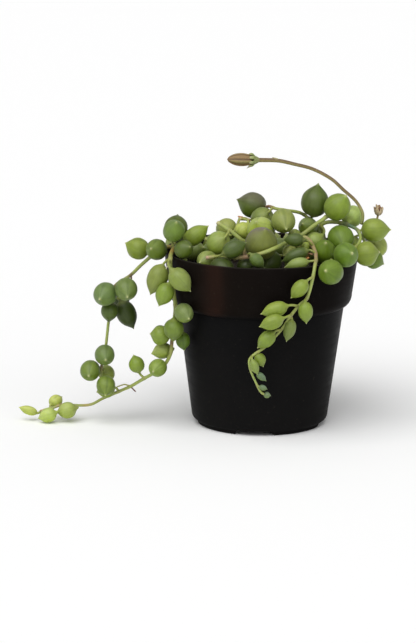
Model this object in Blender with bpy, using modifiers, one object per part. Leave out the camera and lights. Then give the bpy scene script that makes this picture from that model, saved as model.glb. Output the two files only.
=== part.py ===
"""A string of raindrops in a small nursery pot: pot, soil, leafy stems, a flower bud and a spent flower."""

import math
from collections import namedtuple

import bmesh
import bpy
from mathutils import Matrix, Vector, noise

MM = 0.001
COLLECTION_NAME = "potted_string_of_raindrops"

# Pot: outer radii and heights, in millimetres
RIM_RADIUS = 38.0
POT_HEIGHT = 68.7
BAND_FOOT = (35.74, 52.15)
BODY_TOP = (32.67, 47.7)
BODY_FOOT = (26.75, 3.17)
FOOT_RADIUS = 24.7
FOOT_WIDTH = 1.8
FOOT_DRAFT = 0.2
FLOOR_UNDER = 2.3
FLOOR_TOP = 3.4
WALL = 1.1
POT_STEPS = 42
BAND_STEPS = 3
LIP_ROUND = 0.3
FLOOR_ROUND = 1.0

# The foot ring is notched where two bars cross under the floor, and the floor has five drain holes
NOTCH_HEIGHT = 1.8
NOTCH_WIDTH = 15.5
NOTCH_TAPER = (1.12, 0.80)
NOTCH_TURN = math.radians(-6.0)
DRAIN_RADIUS = 2.6
DRAIN_CIRCLE = 15.5
DRAIN_SIDES = 12

# Soil: a mound with a crumbly top, in millimetres
SOIL_EDGE = 59.6
SOIL_CROWN = 62.2
SOIL_CRUMB = 0.7
SOIL_STEPS = 36
SOIL_CIRCLES = (0.22, 0.43, 0.63, 0.82)
GAP = 0.3
HOLE_SLACK = 0.55
HOLE_DEPTH = 7.0
HOLE_SIDES = 8

# The viewpoint that the plant is laid out from. A point is named by the pixel where it shows from there
# and by its depth: the millimetres that it lies behind the plane through the pot's axis that faces it.
PICTURE = (416, 643)
FOCAL_PIXELS = 3036
VIEW_DISTANCE = 1193
VIEW_ELEVATION = math.radians(12.22)
VIEW_ROLL = math.radians(0.431)
VIEW_TARGET = Vector((-20.64, 0, 39.82))

# A leaf is a round belly, a waist that narrows into its stalk, and a pointed tip. Stations along it are
# in belly radii from the belly's middle: (place, radius).
LEAF_STATIONS = ((-0.80, 0.60), (-0.12, 1.0), (0.60, 0.85), (1.08, 0.40))
LEAF_TIP = 1.5
LEAF_BACK = 1.0
LEAF_SIDES = 7
SMALL_LEAF = 7.2
SMALL_LEAF_SIDES = 6

# A leaf's stalk: its radius, in millimetres and at most as a share of the belly's; how deep it is rooted;
# how far its bend lies behind the leaf and where its one ring is, as shares of its length. A leaf drawn
# out this much longer than a round one grows from a point of the stem that lies behind it.
PETIOLE_RADIUS = 0.45
PETIOLE_SHARE = 0.3
ROOT_DEPTH = 0.5
PETIOLE_BEND = 0.4
PETIOLE_RING = 0.72
LONG_LEAF = 1.05
ROOT_BEHIND = 0.8
ROOT_REACH = 3.0

STEM_BEVEL = 1
STEM_POINT_EVERY = 4.0

# width is the belly's, in millimetres. The tip shows at its own pixel, and lean says which way the leaf
# points where that leaves it foreshortened: -1 towards the viewer, 1 away.
Leaf = namedtuple("Leaf", "px py depth width tip_px tip_py lean", defaults=(0,))
# A run of stem: its points as (px, py, depth), and its radius at the start and at the end
Run = namedtuple("Run", "points radii")
# hole is where the stem stands in the soil, in millimetres
Vine = namedtuple("Vine", "name hole runs leaves colour")

LEAF_GREEN = (0.15, 0.23, 0.035)
TIP_GREEN = (0.27, 0.36, 0.06)
STALK_OLIVE = (0.20, 0.15, 0.065)
BUD_BROWN = (0.22, 0.15, 0.07)
WITHERED_BROWN = (0.20, 0.11, 0.05)
PEAT_BROWN = (0.026, 0.019, 0.014)
POT_BLACK = (0.005, 0.0045, 0.004)

# Places closer than this, in metres, are one
MERGE_DISTANCE = 0.00001
SHARP_ANGLE = math.radians(50)

VINES = [
    Vine(
        "stem_left_outer",
        (-29.0, -4.0),
        [
            Run(
                [
                    (180, 246.5, -4),
                    (171, 246.6, -4),
                    (164.5, 247.2, -4),
                    (157, 251.4, -3.8),
                    (149, 258, -3.6),
                    (140, 266, -4),
                    (133, 273, -4.2),
                    (126, 278.5, -4),
                    (118, 283, -3),
                    (113.5, 289, -1.6),
                    (112, 300, -0.8),
                    (110.3, 312, -1),
                    (108.4, 323, -1.7),
                    (107.2, 334, -2.5),
                    (106, 345, -3.2),
                    (104.3, 355, -3.8),
                    (101.4, 366.5, -4.6),
                    (101.5, 373, -5),
                    (104, 378, -5.4),
                ],
                (0.8, 0.55),
            )
        ],
        [
            Leaf(156.8, 249.5, -10.4, 8.2, 150.4, 248.6, -1),
            Leaf(138.2, 248.6, -2.5, 8.6, 124.7, 242.7),
            Leaf(126.1, 288.9, -13.2, 8.7, 127.6, 297.7, -1),
            Leaf(105.6, 293.9, -9.4, 9.2, 99.1, 299.7, -1),
            Leaf(109.6, 310.5, -5.0, 6.7, 108.6, 323.0),
            Leaf(125.8, 312.6, 0.5, 8.0, 134.0, 329.3),
            Leaf(120.5, 298.5, 5.5, 7.0, 125.0, 306.0, 1),
            Leaf(104.7, 354.7, -9.0, 7.9, 105.9, 360.7, -1),
            Leaf(90.3, 370.3, -7.0, 8.0, 88.5, 376.5, -1),
            Leaf(106.4, 373.2, -0.2, 6.5, 110.5, 379.0, 1),
            Leaf(105.8, 385.0, -10.2, 7.4, 105.3, 396.2, -1),
        ],
        LEAF_GREEN,
    ),
    Vine(
        "stem_left_long",
        (-27.5, -12.0),
        [
            Run(
                [
                    (180.0, 250.5, -12.5),
                    (174.5, 248.5, -13.6),
                    (171.3, 253.2, -15.6),
                    (170.4, 258.3, -17.8),
                    (170.1, 262.8, -18.6),
                    (171.5, 275, -17.2),
                    (173, 287, -17.2),
                    (174.3, 297, -17.0),
                    (175.4, 304.8, -16.8),
                    (175, 316, -16.6),
                    (173.2, 330, -16.4),
                    (171.8, 342.7, -16.4),
                    (170.6, 353.4, -16.0),
                    (165.6, 363.6, -15.2),
                    (158, 370.2, -13.6),
                    (151.4, 374.5, -11.8),
                    (143.2, 378.9, -9.4),
                    (131, 386.1, -6.0),
                    (123.5, 389.4, -3.6),
                    (113, 394.0, -0.8),
                    (102.4, 398.6, 0.4),
                    (91, 404.4, 0.2),
                    (78, 405.4, -0.8),
                    (67, 404.8, -1.6),
                    (60, 405, -2.4),
                    (54.4, 407.4, -3.0),
                    (45.7, 409.4, -3.4),
                    (40.6, 411.3, -3.6),
                ],
                (0.95, 0.5),
            )
        ],
        [
            Leaf(173.8, 231.2, -16.6, 8.4, 176.8, 221.4, -1),
            Leaf(175.8, 228.8, -6.4, 9.3, 177.7, 214.0, 1),
            Leaf(194.2, 236.2, -10.0, 6.9, 209.0, 225.3),
            Leaf(183.5, 249.4, -18.0, 7.2, 190.7, 246.8, -1),
            Leaf(157.7, 277.3, -17.2, 8.1, 150.1, 295.3),
            Leaf(179.4, 278.8, -27.4, 7.8, 191.0, 291.9),
            Leaf(165.0, 292.9, -21.8, 7.0, 158.6, 306.7),
            Leaf(183.8, 312.7, -24.8, 7.3, 189.5, 319.4, -1),
            Leaf(173.8, 328.8, -22.4, 7.8, 173.6, 342.0),
            Leaf(160.0, 335.0, -16.6, 7.8, 149.5, 333.7),
            Leaf(163.2, 350.6, -12.0, 6.4, 150.8, 353.9),
            Leaf(182.9, 339.8, -16.4, 5.6, 184.2, 351.1),
            Leaf(158.0, 367.7, -18.4, 7.0, 152.6, 372.0, -1),
            Leaf(136.8, 364.9, -9.6, 6.1, 133.4, 354.4),
            Leaf(106.5, 389.6, -2.6, 6.5, 96.2, 392.2),
            Leaf(67.6, 410.2, -5.6, 6.6, 56.0, 412.6),
            Leaf(55.4, 401.4, -0.4, 5.2, 62.4, 396.4, 1),
            Leaf(48.6, 414.9, -7.2, 5.8, 37.6, 418.6),
            Leaf(29.6, 410.6, -3.8, 3.6, 18.4, 407.0),
        ],
        LEAF_GREEN,
    ),
    Vine(
        "stem_front",
        (15.6, -14.6),
        [
            Run(
                [
                    (299.5, 246, -15.2),
                    (301.5, 240.2, -15.4),
                    (304.9, 237.3, -15.8),
                    (308.5, 239.6, -16.6),
                    (311.6, 244.3, -18.4),
                    (315.2, 252, -22.4),
                    (316, 260, -28.4),
                    (315.2, 264.3, -33.4),
                    (313.5, 274, -36.2),
                    (309.8, 290, -37),
                    (306.3, 299.3, -37.4),
                    (300.6, 304, -37.7),
                    (292.5, 313.3, -38),
                    (283.3, 327, -38.3),
                    (274, 337.8, -38.5),
                    (265, 347, -38.8),
                    (253.5, 355, -39.2),
                    (249.2, 361, -39.6),
                    (251, 371.4, -39.6),
                    (255.7, 382.2, -39.2),
                    (260.3, 391.3, -38.8),
                    (264.0, 394.3, -38.6),
                ],
                (0.9, 0.42),
            )
        ],
        [
            Leaf(295.6, 239.8, -21.6, 5.0, 282.8, 239.6),
            Leaf(297.0, 254.9, -24.6, 5.1, 281.0, 261.6),
            Leaf(298.6, 264.0, -29.4, 5.0, 284.0, 267.4),
            Leaf(305.8, 246.4, -18.0, 3.4, 303.0, 250.0, -1),
            Leaf(300.2, 288.1, -38.8, 5.7, 290.6, 298.4),
            Leaf(276.3, 309.2, -40.2, 5.9, 260.2, 314.2),
            Leaf(273.2, 321.8, -43.6, 5.7, 258.8, 327.0),
            Leaf(305.6, 310.8, -39.4, 5.6, 306.4, 324.0),
            Leaf(267.2, 338.8, -40.6, 5.8, 257.2, 348.4),
            Leaf(289.6, 328.6, -38.0, 4.8, 286.3, 342.0),
            Leaf(259.8, 359.0, -38.6, 4.4, 263.4, 367.2),
            Leaf(254.4, 366.0, -41.4, 3.3, 257.8, 375.0),
            Leaf(260.8, 376.2, -40.2, 2.6, 266.4, 381.2),
            Leaf(262.6, 387.6, -39.6, 2.2, 267.6, 389.4),
            Leaf(266.8, 395.0, -38.4, 2.4, 271.0, 395.8),
        ],
        TIP_GREEN,
    ),
    Vine(
        "stem_long",
        (-12.6, -19.2),
        [
            Run(
                [
                    (229, 261.5, -20.2),
                    (229.8, 257.2, -22.6),
                    (236.5, 257.8, -27.0),
                    (247, 256.8, -28.2),
                    (261, 253.6, -28.6),
                    (273.5, 248.8, -27.2),
                    (279.5, 246, -21.6),
                    (285, 243.2, -17.2),
                    (295, 238.2, -12.4),
                    (303.8, 233.4, -10.0),
                    (314.3, 225.3, -9.2),
                    (323, 219.5, -9.0),
                    (326.5, 216.5, -8.4),
                ],
                (0.85, 0.8),
            ),
            Run([(229.8, 257.2, -22.6), (218, 256.8, -23.8), (206.2, 257.8, -24.8)], (0.8, 0.75)),
        ],
        [
            Leaf(232.8, 249.2, -28.6, 6.6, 247.0, 242.2),
            Leaf(256.4, 260.0, -31.8, 4.9, 264.2, 268.2),
            Leaf(246.0, 266.4, -24.8, 7.0, 251.0, 273.0),
            Leaf(337.0, 207.4, -8.6, 10.2, 346.9, 194.5, -1),
        ],
        LEAF_GREEN,
    ),
    Vine(
        "stem_upper",
        (18.0, 3.0),
        [
            Run(
                [
                    (311, 235, 3),
                    (310, 225, 3.4),
                    (307, 217.2, 2.4),
                    (301, 213.2, -0.6),
                    (294.8, 211.5, -3.2),
                    (285, 210.2, -6.2),
                    (276, 208.6, -4.6),
                    (269.8, 206.4, 0),
                    (266.5, 207, 4.6),
                ],
                (0.8, 0.6),
            )
        ],
        [
            Leaf(253.2, 205.2, 7.2, 10.2, 236.4, 199.2),
            Leaf(262.6, 218.6, -0.4, 9.0, 256.0, 226.0, 1),
            Leaf(283.3, 220.6, -12.8, 9.2, 286.5, 230.0, -1),
            Leaf(314.8, 202.6, -1.4, 10.9, 318.4, 182.8),
            Leaf(308.2, 226.9, -3.2, 7.4, 302.0, 223.5, -1),
            Leaf(313.8, 231.0, 7.0, 6.0, 318.6, 236.0, 1),
        ],
        LEAF_GREEN,
    ),
    Vine(
        "stem_centre",
        (-6.5, -12.5),
        [
            Run(
                [
                    (245, 244, -13.4),
                    (241.4, 240.2, -14.2),
                    (231, 231.6, -13.6),
                    (217.2, 222.4, -12.2),
                ],
                (0.95, 0.8),
            ),
            Run(
                [
                    (245.5, 243.5, -13.2),
                    (250.4, 237, -3),
                    (250.0, 228, 0.6),
                    (248.6, 221.4, 1.2),
                    (246, 218.8, 0.2),
                    (239.8, 218.4, -1.6),
                ],
                (0.7, 0.6),
            ),
        ],
        [
            Leaf(261.4, 231.2, -9.6, 10.8, 256.0, 221.5, -1),
            Leaf(261.0, 244.2, -20.6, 12.4, 265.7, 229.0, -1),
            Leaf(243.2, 230.8, -4.6, 6.8, 238.0, 239.0),
            Leaf(218.6, 243.2, -13.4, 9.4, 211.0, 250.0, 1),
            Leaf(227.0, 229.4, 0.4, 8.4, 223.0, 221.0, 1),
        ],
        LEAF_GREEN,
    ),
    Vine(
        "stem_right",
        (27.0, 0.0),
        [
            Run(
                [
                    (323, 233, -1),
                    (321, 225.5, -2.4),
                    (327, 222.2, -3.2),
                    (336, 222.2, -3.6),
                    (344, 223.6, -4.4),
                    (350.4, 226, -5.4),
                    (357.5, 230, -6.8),
                    (360.5, 237, -9.4),
                    (358, 245, -13.2),
                    (352.5, 249, -18),
                ],
                (0.9, 0.65),
            ),
            Run(
                [(358.8, 232.5, -7.6), (363.5, 239.5, -3.6), (366.5, 246, -1.8), (366, 251, -3.6)],
                (0.65, 0.5),
            ),
        ],
        [
            Leaf(352.0, 216.6, 0.8, 8.4, 357.0, 208.0, 1),
            Leaf(314.6, 241.8, -8.2, 7.6, 306.0, 249.0),
            Leaf(340.5, 238.1, -10.9, 10.2, 343.8, 247.2, -1),
            Leaf(345.6, 254.9, -27.6, 9.4, 352.8, 253.1, -1),
            Leaf(366.9, 253.6, -14.6, 9.6, 380.2, 252.0),
            Leaf(373.6, 230.0, -7.4, 9.4, 391.5, 229.7),
            Leaf(376.8, 246.0, 1.8, 8.3, 380.0, 252.0, 1),
            Leaf(373.6, 259.4, -6.2, 7.4, 384.4, 264.4),
            Leaf(352.6, 242.6, -3.8, 5.6, 350.0, 250.0, 1),
        ],
        LEAF_GREEN,
    ),
    Vine(
        "stem_right_front",
        (27.0, -12.5),
        [
            Run(
                [
                    (330.5, 263, -14.6),
                    (330.5, 261.8, -18),
                    (330.8, 260.6, -22.5),
                    (331.4, 260.4, -27.4),
                    (333, 264, -30),
                ],
                (0.8, 0.6),
            )
        ],
        [
            Leaf(323.6, 252.2, -16.4, 9.2, 326.0, 242.0, -1),
            Leaf(331.0, 272.1, -34.6, 9.5, 325.0, 270.6, -1),
        ],
        LEAF_GREEN,
    ),
    Vine(
        "stem_left_front",
        (-18.6, -12.4),
        [
            Run([(215.5, 264, -12.8), (216.5, 261.5, -15.0), (217.5, 263, -18.4)], (0.75, 0.6)),
        ],
        [
            Leaf(207.5, 260.8, -19.0, 7.8, 199.0, 263.0, -1),
            Leaf(221.6, 268.9, -27.4, 9.2, 231.0, 270.6, -1),
        ],
        LEAF_GREEN,
    ),
    Vine(
        "stem_middle",
        (9.5, -12.0),
        [
            Run([(286.5, 252, -12), (287.5, 243, -11.6), (291, 240, -10.2)], (0.75, 0.6)),
        ],
        [
            Leaf(294.5, 236.5, -6.6, 5.6, 296.0, 231.0, 1),
            Leaf(290.0, 252.2, -15.2, 5.6, 283.0, 256.0, -1),
            Leaf(270.6, 261.6, -13.6, 8.6, 263.5, 270.0, -1),
        ],
        LEAF_GREEN,
    ),
    Vine(
        "stem_back_left",
        (-14.0, 9.0),
        [
            Run(
                [
                    (224.1, 250.9, 11.0),
                    (214.0, 243.9, 15.0),
                    (203.9, 237.6, 20.0),
                    (196.5, 232.5, 25.5),
                    (191.6, 230.9, 30.0),
                    (188.8, 236.7, 32.8),
                    (188.7, 252.4, 33.2),
                    (190.1, 269.8, 32.5),
                ],
                (0.85, 0.55),
            )
        ],
        [
            Leaf(212.7, 252.2, 8.0, 8.0, 202.3, 247.0, -1),
            Leaf(229.1, 246.6, 15.3, 8.0, 234.2, 234.9, 1),
            Leaf(195.0, 250.7, 11.0, 7.6, 181.4, 253.3, 1),
            Leaf(212.7, 244.7, 23.8, 7.6, 217.9, 234.5, 1),
            Leaf(176.2, 242.4, 28.2, 7.6, 163.7, 246.1, 1),
            Leaf(200.2, 247.7, 38.2, 8.0, 208.2, 253.8, 1),
            Leaf(177.7, 266.8, 33.5, 7.4, 167.8, 274.3, 1),
            Leaf(192.5, 281.9, 35.2, 7.0, 193.9, 293.1, 1),
        ],
        LEAF_GREEN,
    ),
    Vine(
        "stem_back_middle",
        (1.0, 12.0),
        [
            Run(
                [
                    (263.3, 248.5, 14.0),
                    (260.6, 241.2, 19.0),
                    (255.4, 234.6, 25.0),
                    (250.2, 229.6, 31.0),
                    (247.6, 226.9, 36.5),
                    (246.7, 228.9, 40.8),
                    (246.0, 239.9, 42.8),
                    (247.0, 258.0, 43.0),
                    (249.3, 280.0, 42.5),
                    (251.5, 301.9, 42.0),
                    (252.6, 320.2, 41.5),
                ],
                (0.9, 0.5),
            )
        ],
        [
            Leaf(250.7, 249.6, 11.5, 8.4, 241.3, 246.1, -1),
            Leaf(277.0, 248.4, 17.0, 8.0, 289.0, 239.5),
            Leaf(240.3, 244.1, 24.0, 8.2, 227.3, 236.0),
            Leaf(270.2, 242.2, 27.5, 8.4, 280.5, 235.2, 1),
            Leaf(231.2, 236.9, 30.4, 6.6, 224.2, 229.8, 1),
            Leaf(263.1, 241.8, 46.8, 8.0, 272.3, 246.3, 1),
            Leaf(231.0, 253.8, 46.5, 7.6, 222.4, 260.7, 1),
            Leaf(262.7, 278.4, 46.0, 7.4, 271.2, 285.8, 1),
            Leaf(239.3, 295.1, 43.5, 6.8, 232.3, 303.6, 1),
            Leaf(256.3, 317.4, 42.0, 6.2, 258.4, 327.6, 1),
        ],
        LEAF_GREEN,
    ),
    Vine(
        "stem_back_right",
        (15.0, 11.0),
        [
            Run(
                [
                    (299.9, 250.3, 13.5),
                    (303.4, 241.5, 19.0),
                    (306.7, 234.3, 25.5),
                    (308.9, 229.8, 31.0),
                    (310.7, 229.6, 35.4),
                    (311.9, 236.5, 38.0),
                    (311.6, 250.9, 38.4),
                    (310.9, 268.2, 37.8),
                ],
                (0.85, 0.55),
            )
        ],
        [
            Leaf(291.6, 244.0, 25.5, 7.6, 285.4, 233.3, 1),
            Leaf(318.4, 249.0, 19.0, 8.0, 328.5, 240.7, 1),
            Leaf(316.8, 254.3, 8.0, 7.4, 325.9, 249.2, -1),
            Leaf(332.9, 251.7, 12.0, 7.2, 345.7, 246.8),
            Leaf(296.7, 244.5, 41.4, 7.6, 286.8, 249.2, 1),
            Leaf(330.5, 249.7, 36.0, 7.6, 340.5, 254.2, 1),
            Leaf(304.9, 276.3, 41.0, 7.0, 301.9, 287.2, 1),
        ],
        LEAF_GREEN,
    ),
]

# The flower: its stalk arches over the crown to a small cup. Places are (px, py, depth), shapes are
# (share of the length, radius in millimetres).
FLOWER_STALK = [
    (361.4, 224.2, -4.4),
    (362.7, 218.8, -4.8),
    (362.1, 211.5, -5),
    (355.4, 200.6, -3),
    (343.3, 189.7, -2),
    (331.2, 178.8, -1),
    (313, 169.1, 0),
    (294.8, 164.2, -1),
    (277.9, 160.6, -2.5),
    (258.5, 160, -4),
]
FLOWER_STALK_RADII = (0.58, 0.72)
CUP = ((260.0, 160.0, -3.9), (252.4, 159.9, -4.5))
CUP_SIDES = 8
CUP_SHAPE = ((0.0, 0.0), (0.08, 0.7), (0.55, 1.55), (0.92, 1.85), (1.0, 0.0))
BRACTS = [
    ((281.5, 161.6, -2.2), (271.5, 157.0, -3.2)),
    ((256.0, 162.0, -4.2), (246.4, 168.6, -4.6)),
]
BRACT_SIDES = 5
BRACT_SHAPE = ((0.0, 0.0), (0.12, 0.42), (0.5, 0.5), (1.0, 0.0))
BUD = ((251.5, 159.9, -4.6), (227.0, 159.4, -6.4))
BUD_SHAPE = ((0.0, 0.0), (0.02, 1.5), (0.18, 2.2), (0.42, 2.45), (0.68, 2.15), (0.9, 1.2), (1.0, 0.0))
BUD_SIDES = 14
BUD_RIB = 0.06

# The spent flower: a short stalk behind the leaves at the right, and its withered head
SPENT_STALK = [
    (366.2, 240.4, -2.3),
    (369.0, 235.0, -1.2),
    (372.6, 228.5, -1.0),
    (375.8, 222.0, -1.4),
    (377.6, 217.0, -1.5),
    (378.0, 213.5, -1.6),
]
SPENT_STALK_RADII = (0.5, 0.42)
SPENT_HEAD = ((378.0, 216.4, -1.6), (379.0, 202.8, -1.6))
SPENT_SHAPE = ((0.0, 0.0), (0.1, 0.7), (0.34, 1.7), (0.6, 1.55), (0.82, 1.3), (1.0, 0.0))
SPENT_SIDES = 10
SPENT_RIB = 0.16


def view_axes():
    """The viewpoint's eye and its forward, right and up directions, in millimetres."""
    forward = Vector((0, math.cos(VIEW_ELEVATION), -math.sin(VIEW_ELEVATION)))
    right = Vector((1, 0, 0))
    up = right.cross(forward)
    turn = Matrix.Rotation(-VIEW_ROLL, 3, forward)
    return VIEW_TARGET - forward * VIEW_DISTANCE, forward, turn @ right, turn @ up


EYE, FORWARD, RIGHT, UP = view_axes()


def sight_line(px, py):
    across = (px - PICTURE[0] / 2) / FOCAL_PIXELS
    rise = (PICTURE[1] / 2 - py) / FOCAL_PIXELS
    return (FORWARD + RIGHT * across + UP * rise).normalized()


def seen(px, py, depth):
    """The point that shows at this pixel at this depth, in millimetres."""
    ray = sight_line(px, py)
    return EYE + ray * ((depth - EYE.y) / ray.y)


def soil_height(x, y):
    """The soil's top over a point, in millimetres: a low mound with crumbs."""
    radius = math.hypot(x, y)
    mound = (SOIL_CROWN - SOIL_EDGE) * max(0.0, 1 - (radius / RIM_RADIUS) ** 2)
    return SOIL_EDGE + mound + SOIL_CRUMB * noise.noise(Vector((x * 0.17, y * 0.17, 4.2)))


def inner_radius(height):
    """The pot's inner radius at a height above the ledge, in millimetres."""
    ledge_radius, ledge_height = BAND_FOOT
    share = (height - ledge_height) / (POT_HEIGHT - ledge_height)
    return ledge_radius - WALL + (RIM_RADIUS - ledge_radius) * share


def smooth_route(points, every):
    """A smooth curve through the points, sampled about every so many millimetres."""
    padded = [points[0] * 2 - points[1]] + list(points) + [points[-1] * 2 - points[-2]]
    route = [points[0]]
    for before, start, end, after in zip(padded, padded[1:], padded[2:], padded[3:]):
        steps = max(1, round((end - start).length / every))
        for step in range(1, steps + 1):
            t = step / steps
            route.append(
                0.5
                * (
                    2 * start
                    + (end - before) * t
                    + (2 * before - 5 * start + 4 * end - after) * t**2
                    + (3 * start - before - 3 * end + after) * t**3
                )
            )
    return route


def vine_routes(vine):
    """The points of each run of a stem. The first run starts in its hole in the soil."""
    routes = []
    for index, run in enumerate(vine.runs):
        points = [seen(*point) for point in run.points]
        if index == 0:
            x, y = vine.hole
            top = soil_height(x, y)
            points = [Vector((x, y, top + height)) for height in (GAP - HOLE_DEPTH, -2.0, 1.0)] + points
        routes.append(smooth_route(points, STEM_POINT_EVERY))
    return routes


def leaf_axis(leaf):
    """The middle of a leaf's belly and its tip, in millimetres."""
    middle = seen(leaf.px, leaf.py, leaf.depth)
    ray = sight_line(leaf.tip_px, leaf.tip_py)
    across = seen(leaf.tip_px, leaf.tip_py, leaf.depth) - middle
    reach = LEAF_TIP * leaf.width / 2
    along = across.dot(ray)
    square = along**2 - across.length_squared + reach**2
    if leaf.lean == 0 or square <= 0:
        return middle, middle + across
    return middle, middle + across + ray * (leaf.lean * math.sqrt(square) - along)


def leaf_root(back, way, is_long, routes):
    """The point of the stem that a leaf grows from: close by, and for a long leaf rather behind it."""
    points = [point for route in routes for point in route]
    near = min((point - back).length for point in points)
    reach = min(ROOT_BEHIND * near, ROOT_REACH) if is_long else 0.0
    return min(points, key=lambda point: (point - back + way * reach).length)


def leaf_stations(leaf, routes):
    """The leaf's rings from inside its stem to its tip: (place, radius), in millimetres."""
    middle, tip = leaf_axis(leaf)
    radius = leaf.width / 2
    way = (tip - middle).normalized()
    stretch = (tip - middle).length / (LEAF_TIP * radius)
    rear = max(1.0, stretch)
    back = middle - way * radius * LEAF_BACK * rear
    root = leaf_root(back, way, stretch > LONG_LEAF, routes)
    stalk = min(PETIOLE_RADIUS, PETIOLE_SHARE * radius)
    bend = back - way * PETIOLE_BEND * (back - root).length
    out = (bend - root).normalized()
    t = PETIOLE_RING
    ring = root * (1 - t) ** 2 + bend * 2 * t * (1 - t) + back * t**2
    stations = [(root - out * ROOT_DEPTH, 0.0), (root - out * ROOT_DEPTH / 2, stalk), (ring, stalk)]
    for place, share in LEAF_STATIONS:
        ahead = place * (stretch if place > 0 else rear)
        stations.append((middle + way * ahead * radius, share * radius))
    stations.append((tip, 0.0))
    return stations


def ring_frames(places):
    """Two directions across the line of places at each of them, turned no more than the line turns."""
    frames = []
    side = None
    for index, place in enumerate(places):
        ahead = places[min(index + 1, len(places) - 1)] - places[max(index - 1, 0)]
        ahead.normalize()
        if side is None:
            side = ahead.orthogonal()
        side = (side - ahead * side.dot(ahead)).normalized()
        frames.append((side, ahead.cross(side)))
    return frames


def material(name, colour, roughness):
    made = bpy.data.materials.get(name) or bpy.data.materials.new(name)
    made.use_nodes = True
    shader = made.node_tree.nodes["Principled BSDF"]
    shader.inputs["Base Color"].default_value = (*colour, 1)
    shader.inputs["Roughness"].default_value = roughness
    return made


def add_object(name, mesh, collection):
    obj = bpy.data.objects.new(name, mesh)
    collection.objects.link(obj)
    return obj


def drawn_object(name, stations, sides, collection, rib=0.0):
    """A sphere whose rings are drawn out along a line of (place, radius), with every second side raised."""
    work = bmesh.new()
    bands = len(stations) - 1
    bmesh.ops.create_uvsphere(work, u_segments=sides, v_segments=bands, radius=1)
    frames = ring_frames([place for place, _ in stations])
    for vertex in work.verts:
        ring = round((math.pi - math.acos(max(-1.0, min(1.0, vertex.co.z)))) / math.pi * bands)
        place, radius = stations[ring]
        side, over = frames[ring]
        angle = math.atan2(vertex.co.y, vertex.co.x)
        raised = radius * (1 + rib * math.cos(angle * sides / 2))
        vertex.co = (place + (side * math.cos(angle) + over * math.sin(angle)) * raised) * MM
    mesh = bpy.data.meshes.new(name)
    work.to_mesh(mesh)
    work.free()
    return add_object(name, mesh, collection)


def tube_object(name, route, radii, collection, bevel=STEM_BEVEL):
    """A tube along a route in millimetres, which narrows evenly from one end's radius to the other's."""
    curve = bpy.data.curves.new(name + "_curve", "CURVE")
    curve.dimensions = "3D"
    curve.bevel_depth = MM
    curve.bevel_resolution = bevel
    curve.use_fill_caps = True
    spline = curve.splines.new("POLY")
    spline.points.add(len(route) - 1)
    for index, (point, place) in enumerate(zip(spline.points, route)):
        point.co = (*(place * MM), 1)
        point.radius = radii[0] + (radii[1] - radii[0]) * index / (len(route) - 1)
    guide = add_object(name + "_guide", curve, collection)
    bpy.context.view_layer.update()
    mesh = bpy.data.meshes.new_from_object(guide.evaluated_get(bpy.context.evaluated_depsgraph_get()))
    matrix = guide.matrix_world.copy()
    bpy.data.objects.remove(guide)
    bpy.data.curves.remove(curve)
    work = bmesh.new()
    work.from_mesh(mesh)
    bmesh.ops.remove_doubles(work, verts=work.verts, dist=MERGE_DISTANCE)
    bmesh.ops.recalc_face_normals(work, faces=work.faces)
    work.to_mesh(mesh)
    work.free()
    obj = add_object(name, mesh, collection)
    obj.matrix_world = matrix
    return obj


def turned_mesh(name, profile, steps):
    """The solid turned from a closed profile that starts and ends on the axis, in millimetres."""
    work = bmesh.new()
    vertices = [work.verts.new((x * MM, 0, z * MM)) for x, z in profile]
    for start, end in zip(vertices, vertices[1:]):
        work.edges.new((start, end))
    mesh = bpy.data.meshes.new(name)
    work.to_mesh(mesh)
    work.free()
    obj = add_object(name, mesh, bpy.context.scene.collection)
    screw = obj.modifiers.new("turn", "SCREW")
    screw.steps = screw.render_steps = steps
    screw.use_merge_vertices = True
    screw.merge_threshold = MERGE_DISTANCE
    bpy.context.view_layer.update()
    made = bpy.data.meshes.new_from_object(obj.evaluated_get(bpy.context.evaluated_depsgraph_get()))
    made.name = name
    bpy.data.objects.remove(obj)
    return made


def combine(obj, helpers, operation):
    """Joins every object of the helper collection to obj, or cuts it from obj, and removes the helpers."""
    boolean = obj.modifiers.new("combine", "BOOLEAN")
    boolean.operation = operation
    boolean.operand_type = "COLLECTION"
    boolean.collection = helpers
    boolean.solver = "EXACT"
    bpy.context.view_layer.update()
    mesh = bpy.data.meshes.new_from_object(obj.evaluated_get(bpy.context.evaluated_depsgraph_get()))
    obj.modifiers.remove(boolean)
    obj.data = mesh
    for helper in list(helpers.objects):
        bpy.data.objects.remove(helper)


def keep_main_body(obj):
    """Drops the loose slivers that a union leaves beside the body, or sealed inside it."""
    work = bmesh.new()
    work.from_mesh(obj.data)
    seen_vertices = set()
    bodies = []
    for first in work.verts:
        if first in seen_vertices:
            continue
        seen_vertices.add(first)
        body = [first]
        for vertex in body:
            for edge in vertex.link_edges:
                other = edge.other_vert(vertex)
                if other not in seen_vertices:
                    seen_vertices.add(other)
                    body.append(other)
        bodies.append(body)
    main_body = max(bodies, key=len)
    slivers = [vertex for body in bodies if body is not main_body for vertex in body]
    bmesh.ops.delete(work, geom=slivers, context="VERTS")
    work.to_mesh(obj.data)
    work.free()


def finish(obj, finish_material):
    obj.data.materials.clear()
    obj.data.materials.append(finish_material)
    obj.data.shade_smooth()
    obj.data.set_sharp_from_angle(angle=SHARP_ANGLE)


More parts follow.
